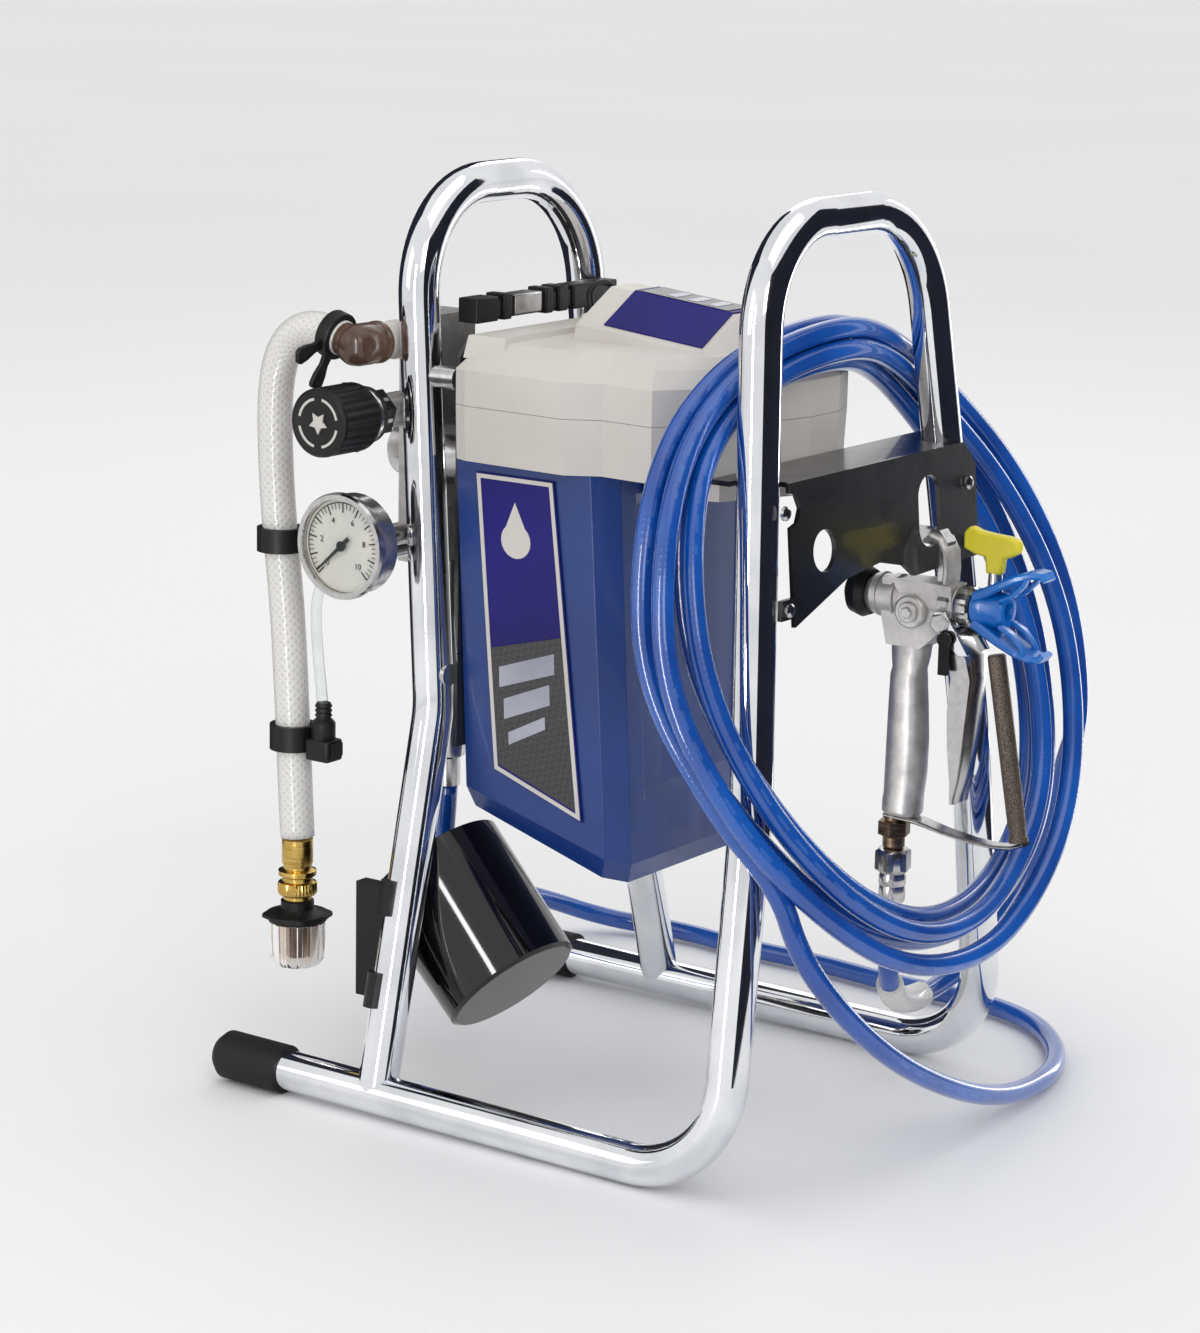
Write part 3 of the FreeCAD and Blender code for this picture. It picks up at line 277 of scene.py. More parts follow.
class Maker:
    """Builds one node material: shader sockets by name, and helpers for its pattern nodes."""

    def __init__(self, name):
        self.material = bpy.data.materials.new(name)
        self.material.use_nodes = True
        self.tree = self.material.node_tree
        self.shader = self.tree.nodes["Principled BSDF"]
        self.place = self.node("ShaderNodeTexCoord")

    def node(self, kind, **values):
        made = self.tree.nodes.new(kind)
        for name, value in values.items():
            if hasattr(made, name):
                setattr(made, name, value)
            else:
                made.inputs[name.replace("_", " ")].default_value = value
        return made

    def join(self, out, into):
        self.tree.links.new(out, into)
        return out

    def feed(self, socket, source):
        """Joins an output to one of the shader's own inputs."""
        self.join(source, self.shader.inputs[socket])

    def set(self, **values):
        for name, value in values.items():
            self.shader.inputs[name.replace("_", " ")].default_value = value

    def noise(self, scale, detail=3, stretch=None, rough=0.5):
        source = self.place.outputs["Object"]
        if stretch:
            mapping = self.node("ShaderNodeMapping")
            mapping.inputs["Scale"].default_value = stretch
            self.join(source, mapping.inputs["Vector"])
            source = mapping.outputs["Vector"]
        made = self.node("ShaderNodeTexNoise", Scale=scale, Detail=detail, Roughness=rough)
        self.join(source, made.inputs["Vector"])
        return made.outputs["Fac"]

    def ramp(self, source, stops):
        made = self.node("ShaderNodeValToRGB")
        made.color_ramp.elements[0].position, made.color_ramp.elements[0].color = stops[0]
        made.color_ramp.elements[1].position, made.color_ramp.elements[1].color = stops[-1]
        for position, color in stops[1:-1]:
            made.color_ramp.elements.new(position).color = color
        self.join(source, made.inputs["Fac"])
        return made.outputs["Color"]

    def span(self, source, low, high):
        """Spreads a 0 to 1 value from low to high."""
        made = self.node("ShaderNodeMapRange")
        made.inputs["To Min"].default_value = low
        made.inputs["To Max"].default_value = high
        self.join(source, made.inputs["Value"])
        return made.outputs["Result"]

    def math(self, operation, a, b=None):
        made = self.node("ShaderNodeMath", operation=operation)
        for socket, value in zip(made.inputs, (a, b)):
            if value is None:
                continue
            if isinstance(value, (int, float)):
                socket.default_value = value
            else:
                self.join(value, socket)
        return made.outputs[0]

    def bump(self, height, distance, strength=1.0):
        made = self.node("ShaderNodeBump", Strength=strength, Distance=distance)
        self.join(height, made.inputs["Height"])
        self.join(made.outputs["Normal"], self.shader.inputs["Normal"])

    def mix(self, factor, a, b):
        made = self.node("ShaderNodeMix", data_type="RGBA")
        self.join(factor, made.inputs["Factor"])
        for socket, value in ((made.inputs[6], a), (made.inputs[7], b)):
            if isinstance(value, tuple):
                socket.default_value = value
            else:
                self.join(value, socket)
        return made.outputs[2]


def rgb(r, g, b):
    """A colour given as it looks on a screen, 0 to 255, turned into a linear one."""
    parts = [c / 255 for c in (r, g, b)]
    return tuple(c / 12.92 if c < 0.04 else ((c + 0.055) / 1.055) ** 2.4 for c in parts) + (1,)


def surface(name, color, dark, rough, grain, relief=0.0, metallic=0.0, **more):
    """A finish: the colour drifts toward the dark one, the gloss varies, and a grain stands up."""
    m = Maker(name)
    m.set(Metallic=metallic, **more)
    drift = m.noise(9, 4)
    tone = m.ramp(drift, [(0.35, rgb(*dark)), (0.65, rgb(*color))])
    m.feed("Base Color", tone)
    grain_noise = m.noise(grain, 3)
    m.feed("Roughness", m.span(grain_noise, *rough))
    if relief:
        m.bump(m.noise(grain * 6, 2), relief)
    return m.material


def brushed(name, color, dark, rough, stretch, relief=0.00004):
    """Bare metal with fine lines, drawn out by the stretch along each axis."""
    m = Maker(name)
    m.set(Metallic=1.0)
    lines = m.noise(60, 4, stretch)
    m.feed("Base Color", m.ramp(lines, [(0.3, rgb(*dark)), (0.7, rgb(*color))]))
    m.feed("Roughness", m.span(lines, *rough))
    m.bump(lines, relief)
    return m.material


def cast_metal(name):
    """Die-cast alloy: small pits and soft lumps, with the lumps' colour painted lighter as a
    painted highlight where they would catch the light.
    """
    m = Maker(name)
    m.set(Metallic=0.7)
    lumps_and_painted_highlight = m.noise(90, 5, rough=0.6)
    pits = m.noise(900, 2)
    # Painted highlight: the base colour is lighter on the raised lumps and darker between them.
    m.feed("Base Color", m.ramp(lumps_and_painted_highlight, [(0.3, rgb(182, 180, 178)), (0.65, rgb(212, 209, 206))]))
    m.feed("Roughness", m.span(pits, 0.3, 0.48))
    m.bump(m.math("ADD", m.math("MULTIPLY", lumps_and_painted_highlight, 0.6), m.math("MULTIPLY", pits, 0.25)), 0.00025)
    return m.material


def braid(name):
    """White yarn braid under a clear skin: crossing strands from the tube's own UV map."""
    m = Maker(name)
    m.set(Coat_Weight=0.5, Coat_Roughness=0.12, Subsurface_Weight=0.08)
    split = m.node("ShaderNodeSeparateXYZ")
    m.join(m.place.outputs["UV"], split.inputs[0])
    around = m.math("MULTIPLY", split.outputs["X"], 2 * math.pi * BRAID_STRANDS)
    along = m.math("MULTIPLY", split.outputs["Y"], 2 * math.pi * BRAID_CROSSINGS_PER_METRE)
    left = m.math("SINE", m.math("ADD", around, along))
    right = m.math("SINE", m.math("SUBTRACT", around, along))
    cross = m.math("MAXIMUM", left, right)
    height = m.span(cross, 0.0, 1.0)
    height.node.inputs["From Min"].default_value = -1.0
    # Painted shade: the yarn's colour is darker in the hollows between the crossing strands.
    m.feed("Base Color", m.ramp(height, [(0.2, rgb(214, 213, 209)), (0.8, rgb(228, 227, 223))]))
    m.feed("Roughness", m.span(height, 0.55, 0.3))
    m.bump(height, 0.0003)
    return m.material


def hose_finish(name):
    """Glossy blue hose with faint dashes printed along it and a slight ripple of its winding."""
    m = Maker(name)
    m.set(Coat_Weight=0.8, Coat_Roughness=0.06)
    split = m.node("ShaderNodeSeparateXYZ")
    m.join(m.place.outputs["UV"], split.inputs[0])
    drift = m.noise(14, 3)
    base = m.ramp(drift, [(0.35, rgb(6, 66, 152)), (0.7, rgb(10, 92, 188))])
    around = m.math("COMPARE", split.outputs["X"], 0.3)
    around.node.inputs[2].default_value = 0.022
    along = split.outputs["Y"]
    steps = m.math("FRACT", m.math("MULTIPLY", along, PRINT_DASHES_PER_METRE))
    dash = m.math("LESS_THAN", steps, 0.6)
    groups = m.math("FRACT", m.math("MULTIPLY", along, PRINT_GROUPS_PER_METRE))
    gaps = m.math("LESS_THAN", groups, 0.55)
    mark = m.math("MULTIPLY", around, m.math("MULTIPLY", dash, gaps))
    tone = m.mix(m.math("MULTIPLY", mark, 0.1), base, rgb(150, 185, 230))
    m.feed("Base Color", tone)
    m.feed("Roughness", m.span(m.noise(160, 2), 0.16, 0.3))
    ripple = m.math("SINE", m.math("MULTIPLY", along, 2 * math.pi * HOSE_RIPPLES_PER_METRE))
    m.bump(m.span(ripple, 0, 1), 0.00006)
    return m.material


def chrome_finish(name):
    """Bright plating with a slight haze and the soft waviness of polished tube."""
    m = Maker(name)
    m.set(Metallic=1.0)
    haze = m.noise(30, 5)
    m.feed("Base Color", m.ramp(haze, [(0.35, rgb(222, 224, 228)), (0.65, rgb(240, 241, 244))]))
    m.feed("Roughness", m.span(haze, 0.03, 0.09))
    m.bump(m.noise(18, 2), 0.0001)
    return m.material


def clear(name, color, rough, ior):
    """A see-through plastic with a faint tint and an uneven gloss."""
    m = Maker(name)
    m.set(Transmission_Weight=1.0, IOR=ior)
    m.feed("Base Color", m.ramp(m.noise(40, 3), [(0.3, rgb(*color)), (0.7, rgb(255, 255, 255))]))
    m.feed("Roughness", m.span(m.noise(200, 2), *rough))
    return m.material


def carbon_pattern(name):
    """A printed weave: small diagonal squares of two dark greys."""
    m = Maker(name)
    m.set(Coat_Weight=0.5, Coat_Roughness=0.1)
    checks = m.node("ShaderNodeTexChecker", Scale=WEAVE_SCALE)
    mapping = m.node("ShaderNodeMapping")
    mapping.inputs["Rotation"].default_value = (0.785, 0, 0.4)
    m.join(m.place.outputs["Object"], mapping.inputs["Vector"])
    m.join(mapping.outputs["Vector"], checks.inputs["Vector"])
    m.feed("Base Color", m.mix(checks.outputs["Fac"], rgb(20, 18, 21), rgb(46, 43, 48)))
    m.feed("Roughness", m.span(m.noise(150, 2), 0.25, 0.4))
    return m.material


def knurled(name):
    """A bead-blasted and knurled post of grey-brown metal."""
    m = Maker(name)
    m.set(Metallic=0.85)
    dots = m.noise(1400, 2)
    m.feed("Base Color", m.ramp(dots, [(0.35, rgb(74, 64, 56)), (0.65, rgb(150, 138, 126))]))
    m.feed("Roughness", m.span(dots, 0.35, 0.6))
    m.bump(dots, 0.0005)
    return m.material


MATERIALS = {}


def add_material(name, make, *values, **more):
    """Makes a material and keeps it under its name."""
    MATERIALS[name] = make(name, *values, **more)


add_material("chrome", chrome_finish)
add_material(
    "black_steel", surface, (30, 31, 34), (22, 23, 26), (0.22, 0.36), 60, 0.00006, Coat_Weight=0.4
)
add_material(
    "black_plastic", surface, (20, 20, 21), (13, 13, 14), (0.38, 0.55), 150, 0.0001,
    Specular_IOR_Level=0.3,
)
add_material(
    "black_gloss", surface, (20, 15, 15), (12, 9, 9), (0.05, 0.1), 40, 0.0, Coat_Weight=0.2
)
add_material(
    "black_rubber", surface, (30, 30, 32), (19, 19, 20), (0.5, 0.7), 220, 0.00015,
    Specular_IOR_Level=0.3,
)
add_material(
    "blue_plastic", surface, (8, 56, 132), (6, 46, 114), (0.3, 0.42), 180, 0.00008, Coat_Weight=0.15
)
add_material("white_plastic", surface, (212, 208, 203), (200, 195, 189), (0.4, 0.52), 200, 0.0001)
add_material(
    "badge_violet", surface, (34, 26, 122), (26, 20, 98), (0.4, 0.5), 100, Specular_IOR_Level=0.2
)
add_material("motor_steel", brushed, (190, 192, 196), (130, 132, 136), (0.25, 0.45), (1, 1, 30))
add_material("cast_alloy", cast_metal)
add_material(
    "zinc_steel", brushed, (206, 204, 203), (182, 180, 180), (0.16, 0.26), (3, 3, 3), 0.00001
)
add_material("gauge_face", surface, (234, 231, 221), (226, 222, 210), (0.4, 0.5), 80)
add_material("needle_black", surface, (16, 16, 17), (10, 10, 11), (0.35, 0.45), 100)
add_material("clear_lens", clear, (246, 250, 252), (0.0, 0.02), 1.15)
add_material("brass", brushed, (214, 184, 108), (176, 140, 70), (0.16, 0.32), (2, 2, 12))
add_material("hose_white", braid)
add_material("hose_clear", clear, (226, 232, 232), (0.08, 0.2), 1.3)
add_material("hose_blue", hose_finish)
add_material("strainer_amber", clear, (190, 158, 124), (0.12, 0.3), 1.4)
add_material(
    "amber_plastic", surface, (128, 98, 80), (92, 66, 54), (0.15, 0.3), 90, Transmission_Weight=0.45
)
add_material(
    "tip_blue", surface, (12, 124, 214), (8, 102, 190), (0.2, 0.32), 120, 0.00006, Coat_Weight=0.3
)
add_material("tip_yellow", surface, (236, 224, 52), (220, 204, 34), (0.25, 0.38), 120, 0.00006)
add_material("gear_steel", brushed, (170, 172, 176), (110, 112, 116), (0.25, 0.4), (20, 20, 1))
add_material("carbon_pattern", carbon_pattern)
add_material(
    "silver_print", surface, (196, 198, 206), (150, 152, 166), (0.3, 0.4), 200, metallic=0.3
)
add_material("knurled_post", knurled)
add_material("bronze", brushed, (150, 128, 104), (92, 76, 60), (0.28, 0.45), (2, 2, 8))


def paint(piece, slot):
    """Gives a piece one finish in place of any that it has."""
    piece.data.materials.clear()
    piece.data.materials.append(MATERIALS[slot])
    return piece


def finish_piece(piece, look, body="stand"):
    """Gives a new piece its finish and the body that it rides on."""
    paint(piece, look)
    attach(piece, body)
    return piece


for part in frame["record"]["subparts"]:
    paint(nodes[part["node"]], part["material_slot"])


# ------------ shapes in mesh code


def sharpen(piece, degrees):
    """Smooth shading that keeps edges sharper than the angle."""
    bpy.context.view_layer.objects.active = piece
    for other in bpy.context.selected_objects:
        other.select_set(False)
    piece.select_set(True)
    bpy.ops.object.shade_smooth_by_angle(angle=math.radians(degrees))
    piece.select_set(False)


def loft(name, rings, degrees=40):
    """A closed skin through rings of points in mm, each with the same number of points."""
    count = len(rings[0])
    last = (len(rings) - 1) * count
    faces = []
    for low in range(0, last, count):
        for k in range(count):
            n = (k + 1) % count
            faces.append((low + k, low + n, low + count + n, low + count + k))
    faces.append(tuple(reversed(range(count))))
    faces.append(tuple(range(last, last + count)))
    made = mesh_object(name, [Vector(point) * MM for ring in rings for point in ring], faces)
    sharpen(made, degrees)
    return made


def lathe(name, profile, base, axis, sides=48, ripple=None):
    """A turned shape: (radius, height) pairs in mm, round an axis from a base point."""
    axis = Vector(axis).normalized()
    side = axis.orthogonal().normalized()
    up = axis.cross(side)
    rings = []
    for radius, height in profile:
        ring = []
        for k in range(sides):
            angle = 2 * math.pi * k / sides
            size = radius * (ripple(angle, radius, height) if ripple else 1)
            spoke = side * math.cos(angle) + up * math.sin(angle)
            ring.append(Vector(base) + axis * height + spoke * size)
        rings.append(ring)
    return loft(name, rings, 32)


def strip(name, stations, x, round_edge=1.2):
    """A bent bar in a plane across X: stations are (y, z, half width, thickness)."""
    rings = []
    for i, (y, z, half, thick) in enumerate(stations):
        before, after = stations[max(i - 1, 0)], stations[min(i + 1, len(stations) - 1)]
        along = Vector((0, after[0] - before[0], after[1] - before[1])).normalized()
        across = Vector((1, 0, 0)).cross(along)
        edge = min(round_edge, thick * 0.45)
        ring = []
        for sx, sy in ((1, 1), (-1, 1), (-1, -1), (1, -1)):
            corner = Vector((x, y, z))
            first = (sx * (half - edge), sy * thick / 2)
            second = (sx * half, sy * (thick / 2 - edge))
            for u, v in (first, second) if sx * sy < 0 else (second, first):
                ring.append(corner + Vector((u, 0, 0)) + across * v)
        rings.append(ring)
    return loft(name, rings)


def soften(piece, width, segments=2):
    """Rounds a piece's edges with a bevel that stays on it as a modifier."""
    bevel = piece.modifiers.new("round", "BEVEL")
    bevel.width = width * MM
    bevel.segments = segments
    bevel.limit_method = "ANGLE"
    bevel.angle_limit = math.radians(35)
    return piece


def slab(name, outline, low_x, high_x, round_edge=0.0):
    """A flat piece between two X planes: outline is (y, z) in mm."""
    rings = [[(x, y, z) for y, z in outline] for x in (low_x, high_x)]
    made = loft(name, rings, degrees=30)
    return soften(made, round_edge) if round_edge else made


def block(name, low, high, round_edge):
    """A box between two corners with rounded edges."""
    (x0, y0, z0), (x1, y1, z1) = low, high
    rings = [[(x0, y0, z), (x1, y0, z), (x1, y1, z), (x0, y1, z)] for z in (z0, z1)]
    return soften(loft(name, rings, degrees=30), round_edge, 3)


# ------------ controls

KNOB_AT = (-163, 148, 432)
GAUGE_AT = (-150, 142, 355)
GAUGE_FACE_DEPTH = 4.6
GAUGE_SWEEP = 270
GAUGE_TICKS = 40


def knob_point(depth, radius=0.0, angle=0.0):
    """A point so far behind the knob's face, in mm, and round its axis."""
    x, y, z = KNOB_AT
    return (x + depth, y + radius * math.cos(angle), z + radius * math.sin(angle))


def make_knob():
    """The ribbed knob with its printed arcs and star, and the nut behind it."""
    def ribs(angle, radius, height):
        return 1 + (0.03 * math.cos(24 * angle) if radius > 20 and 4 < height < 32 else 0)

    profile = [(14, 1.4), (16.5, 0.2), (19.4, 0), (21.0, 1.4), (21.3, 4), (20.6, 5), (20.6, 30)]
    profile += [(21.2, 31.5), (21.2, 35), (19, 37), (17.6, 38), (17.6, 47), (15, 48)]
    knob = lathe("knob_grip", profile, KNOB_AT, (1, 0, 0), 144, ribs)
    finish_piece(knob, "black_plastic", "knob")
    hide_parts("pressure_knob")
    rim = [(17.9, 0), (18.3, 0.6), (18.3, 2.2), (17.9, 2.8)]
    finish_piece(lathe("knob_rim_band", rim, knob_point(40), (1, 0, 0)), "zinc_steel", "knob")
    section = [(15.4, 0), (15.4, -0.5), (13.8, -0.5), (13.8, 0)]
    for k in range(4):
        angles = [math.radians(90 * k + 12 + 5.5 * step) for step in range(13)]
        arc = [[knob_point(0.9 + depth, radius, a) for radius, depth in section] for a in angles]
        finish_piece(loft(f"knob_mark_{k}", arc), "white_plastic", "knob")
    star = [(7 if k % 2 else 3.6, math.radians(36 * k + 18)) for k in range(10)]
    outline = [knob_point(0, radius, angle)[1:] for radius, angle in star]
    symbol = slab("knob_symbol", outline, KNOB_AT[0] + 0.3, KNOB_AT[0] + 1.6)
    finish_piece(symbol, "white_plastic", "knob")
    boot = [(13, 0), (15.5, 1), (15.5, 9), (13, 10)]
    finish_piece(lathe("valve_nut", boot, knob_point(49.5), (1, 0, 0), 6), "black_plastic")


def dial_point(radius, degrees, depth=0.0):
    """A point on the gauge's face. 0 degrees is lower left, where the scale starts."""
    angle = math.radians(225 - degrees)
    across, rise = radius * math.cos(angle), radius * math.sin(angle)
    x, y, z = GAUGE_AT
    return Vector((x + GAUGE_FACE_DEPTH - depth, y - across, z + rise))


def make_gauge_face():
    """Printed ticks, the ring that they stand on, and the numbers."""
    verts, faces = [], []
    for tick in range(GAUGE_TICKS + 1):
        degrees = GAUGE_SWEEP * tick / GAUGE_TICKS
        long_tick = tick % 4 == 0
        inner, half = (20.5, 1.1) if long_tick else (22.8, 0.55)
        corners = [(inner, -half), (26.5, -half), (26.5, half), (inner, half)]
        start = len(verts)
        verts += [dial_point(r, degrees + side, 0.0) * MM for r, side in corners]
        faces.append(tuple(range(start, start + 4)))
    for low in range(0, GAUGE_SWEEP, 3):
        start = len(verts)
        for r, d in ((26.4, low), (27.0, low), (27.0, low + 3), (26.4, low + 3)):
            verts.append(dial_point(r, d) * MM)
        faces.append((start, start + 1, start + 2, start + 3))
    marks = mesh_object("gauge_ticks", verts, faces, smooth=False)
    finish_piece(marks, "needle_black")
    for number in range(0, 11, 2):
        text = bpy.data.curves.new(f"gauge_number_{number}", "FONT")
        text.body = str(number)
        text.size = 5.2 * MM
        text.align_x, text.align_y = "CENTER", "CENTER"
        text.extrude = 0.05 * MM
        label = link(f"gauge_number_{number}", text)
        turn = Matrix(((0, -1, 0), (0, 0, 1), (-1, 0, 0))).transposed().to_4x4()
        place = dial_point(16.6, GAUGE_SWEEP * number / 10) * MM
        label.matrix_world = Matrix.Translation(place) @ turn
        finish_piece(label, "needle_black")


# ------------ suction side

INLET_AT = (-58, 152, 474.8)
SPOUT_AT = (-120, 152, 474.85)
CLAMP_AT = (-120, 164.4, 478.4)
HOSE_EXIT = (0, 0.9615, 0.2747)
HOSE_END_X, HOSE_END_Y = -120, 198.6
DEFLECTOR_AT = (-120, 177.5, 222.2)


def make_inlet():
    """The elbow between the pump and the suction hose."""
    sleeve = [(10.2, 0), (11.4, 1), (11.4, 22), (12.2, 23), (12.2, 27), (11.4, 28), (11.4, 41)]
    part = lathe("inlet_sleeve", sleeve, INLET_AT, (-1, 0, 0))
    finish_piece(part, "white_plastic")
    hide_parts("suction_elbow")
    collar = [
        (11.8, 40.6), (13.2, 41.6), (13.2, 44), (12.4, 45), (12.4, 50), (13.0, 51), (13.0, 62)
    ]
    collar += [(12.2, 67), (10.2, 70.5), (6.8, 72.6), (2.5, 73.4)]
    finish_piece(lathe("inlet_collar", collar, INLET_AT, (-1, 0, 0)), "amber_plastic")
    spout = lathe("inlet_spout", [(10.4, 2), (10.4, 12), (9.6, 15)], SPOUT_AT, HOSE_EXIT)
    finish_piece(spout, "amber_plastic")


def make_hose_clamp():
    """The clamp's band and its two finger wings."""
    axis, base = Vector(HOSE_EXIT), Vector(CLAMP_AT)
    band = [(11.7, 0), (14.6, 0.2), (15, 1), (15, 8), (14.6, 8.8), (11.7, 9)]
    ring = lathe("clamp_band", band, base, axis)
    finish_piece(ring, "black_plastic", "clamp")
    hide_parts("suction_clamp")
    left = Vector((-1, 0, 0))
    down = left.cross(axis)
    down = down if down.z < 0 else -down
    wings = (("clamp_wing_low", down + left * 0.28), ("clamp_wing_high", left + down * 0.35))
    for name, direction in wings:
        heading = direction.normalized()
        across = heading.cross(axis)
        rings = []
        for far, half in ((12.5, 4.2), (20, 3.2), (27, 5.2), (33, 5.6), (35.5, 3.6)):
            middle = base + axis * 4.5 + heading * far
            corners = ((1, 1), (-1, 1), (-1, -1), (1, -1))
            rings.append([middle + across * half * u + axis * 1.7 * v for u, v in corners])
        finish_piece(soften(loft(name, rings), 0.9), "black_plastic", "clamp")


def hexagon(flat):
    """A ripple that turns a round profile into a six-sided nut where it is wider than flat."""
    sixth = math.pi / 3

    def ripple(angle, radius, height):
        off_flat = (angle + sixth / 2) % sixth - sixth / 2
        return 1 / max(0.87, math.cos(off_flat)) if radius > flat else 1

    return ripple


def make_suction_end():
    """The coupling and strainer on the suction hose, and the drain tube's deflector."""

    def knurl(angle, radius, height):
        return 1 + (0.018 * math.cos(36 * angle) if -37 < height < -28 else 0)

    def lobes(angle, radius, height):
        return 1 + (0.1 * max(0, math.cos(4 * angle)) ** 3 if radius > 19 else 0)

    def ribs(angle, radius, height):
        return 1 + (0.045 * (1 if math.cos(14 * angle) > 0 else 0) if radius > 15 else 0)

    def turned(name, profile, z, *more):
        return lathe(name, profile, (HOSE_END_X, HOSE_END_Y, z), (0, 0, 1), *more)

    profile = [
        (8.8, 0), (10, -0.6), (10, -16), (9.2, -17.4), (9.2, -19.6), (12.2, -21), (12.2, -24)
    ]
    profile += [(9.8, -25.4), (9.8, -28), (12.0, -28.8), (12.4, -30), (12.4, -35.5), (11.6, -37)]
    profile += [(9, -38), (9, -40)]
    body = turned("coupling_barrel", profile, 155.8, 144, knurl)
    finish_piece(body, "brass")
    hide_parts("brass_coupling")
    cap = [(9.4, 0), (10.6, -0.8), (10.6, -6), (13, -8), (20, -9.2), (20.6, -10), (20.6, -11.6)]
    cap += [(18.8, -12.4), (18.6, -14)]
    flange = turned("strainer_flange", cap, 115.6, 72, lobes)
    finish_piece(flange, "black_plastic")
    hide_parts("strainer_cap")
    cup = [(16.6, 0), (17.2, -0.5), (17.2, -8), (16.8, -18), (16.2, -25), (14.4, -28.4), (9, -29)]
    basket = turned("strainer_basket", cup, 101.4, 168, ribs)
    finish_piece(basket, "strainer_amber")
    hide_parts("strainer_cup")
    core = turned("strainer_screen", [(9, -1), (11.5, -2), (11, -24), (7, -26)], 101.4)
    finish_piece(core, "amber_plastic")
    barbs = [(7, 0), (7.6, 1), (7.6, 12), (6, 14), (4.8, 15)]
    for k in range(3):
        barbs += [(4.6, 16 + 3 * k), (5.6, 16.6 + 3 * k), (4.4, 19 + 3 * k)]
    deflector = lathe("deflector_barbs", barbs, DEFLECTOR_AT, (0, 0, 1))
    finish_piece(deflector, "black_plastic")
    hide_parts("drain_deflector")
    spout = block("deflector_block", (-128, 168, 210), (-112, 186.5, 224), 2)
    finish_piece(spout, "black_plastic")
    return [body, flange, basket, core], [deflector, spout]


# ------------ badges and covers

BADGE_TOP_X, BADGE_TOP_Z = -96.3, 402
COVER_SLOPE = 0.06226
DROP_Y, DROP_Z, DROP_RADIUS = 49, 362, 11
POD_FRONT_Y, POD_FRONT_Z = -42, 499.4
POD_SLOPE = 8.2 / 72 * 0.94


def badge_point(y, z, lift):
    """A point on the cover's sloping left side, or lifted off it, in mm."""
    return Vector((BADGE_TOP_X + (BADGE_TOP_Z - z) * COVER_SLOPE - lift, y, z))


def badge_panel(name, outline, lift, thick, slot):
    """A thin panel on the cover's left side. Its outline is (y, z) in mm."""
    rings = [[badge_point(y, z, lift + deep) for y, z in outline] for deep in (0, thick)]
    return finish_piece(loft(name, rings, degrees=30), slot)


def make_side_badge():
    """The badge's white edge, its dark lower half with three stripes, and a drop."""
    outer = [(77.4, 401.2), (20.8, 401.2), (5.0, 191.6), (69.6, 214.8)]
    inner = [(74.6, 398.6), (23.2, 398.6), (8.2, 195.6), (67.0, 216.8)]
    for k in range(4):
        n = (k + 1) % 4
        edge = [outer[k], outer[n], inner[n], inner[k]]
        badge_panel(f"badge_edge_{k}", edge, 0.05, 0.35, "white_plastic")
    dark = [(71.0, 292), (15.8, 306), (8.8, 197.2), (66.4, 218.2)]
    badge_panel("badge_dark", dark, 0.05, 0.2, "carbon_pattern")
    for k, (low, high) in enumerate(((268, 281), (248, 261), (232, 240))):
        back, front = 64 - k * 3, 22 + k * 4
        stripe = [(back, low), (back, high), (front, high + 14), (front, low + 14)]
        badge_panel(f"badge_stripe_{k}", stripe, 0.26, 0.2, "silver_print")
    drop = [(DROP_Y, DROP_Z + 24)]
    for step in range(17):
        angle = math.radians(40 + 280 * step / 16)
        drop.append(
            (DROP_Y + DROP_RADIUS * math.sin(angle), DROP_Z + DROP_RADIUS * math.cos(angle))
        )
    badge_panel("badge_drop", drop, 0.05, 0.3, "white_plastic")


COVER_LOW_Z, COVER_TOP_Z = 151, 408
FLOOR_EDGE = 15


def cover_ring(z_of, recess, inset=0.0):
    """One level of the blue cover: half of it is traced, from the back round to the middle."""
    half = []
    for low, top in (((79, 93.5), (95, 93.5)), ((79, -12), (95, -6)), ((68, -24), (82, -19))):
        z = z_of(low[1])
        rise = (z - COVER_LOW_Z) / (COVER_TOP_Z - COVER_LOW_Z)
        x, y = (a + (b - a) * rise for a, b in zip(low, top))
        half.append(Vector((x, y, z)))
    front = half[-1]
    half.append(Vector((front.x - 16, front.y, front.z)))
    half.append(Vector((front.x - 19 if recess else front.x - 16.4, front.y + recess, front.z)))
    if inset:
        half = [Vector((p.x - inset, p.y + (inset if p.y < 50 else 0), p.z)) for p in half]
    return [Vector((-p.x, p.y, p.z)) for p in half] + half[::-1]


def make_motor_cover():
    """The blue cover with its recessed front and, on the right side, a row of louvres, each with a
    thin black strip under it as painted shade for the vent's opening.
    """

    def floor_z(y):
        return 140.3 + (y + 60) * 0.2878

    rings = [cover_ring(floor_z, 0, 9), cover_ring(lambda y: floor_z(y) + FLOOR_EDGE, 0)]
    for z, recess in ((204, 0), (210, 3.6), (388, 3.6), (395, 0), (COVER_TOP_Z, 0)):
        rings.append(cover_ring(lambda y, z=z: z, recess))
    cover = soften(loft("cover_shell", rings, degrees=20), 0.8)
    finish_piece(cover, "blue_plastic")
    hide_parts("motor_cover")
    for k in range(7):
        z = 250 + 12 * k
        x = 79.2 + 16 * (z - COVER_LOW_Z) / (COVER_TOP_Z - COVER_LOW_Z)
        louvre = strip(f"cover_louvre_{k}", [(10, z + 4, 0.9, 3), (70, z + 4, 0.9, 3)], x, 0.6)
        finish_piece(louvre, "blue_plastic")
        # Painted shade: a thin black strip stands in for the dark opening under each louvre.
        slot = strip(f"vent_painted_shade_{k}", [(11, z + 1.2, 0.3, 2.4), (69, z + 1.2, 0.3, 2.4)], x, 0.1)
        finish_piece(slot, "black_plastic")


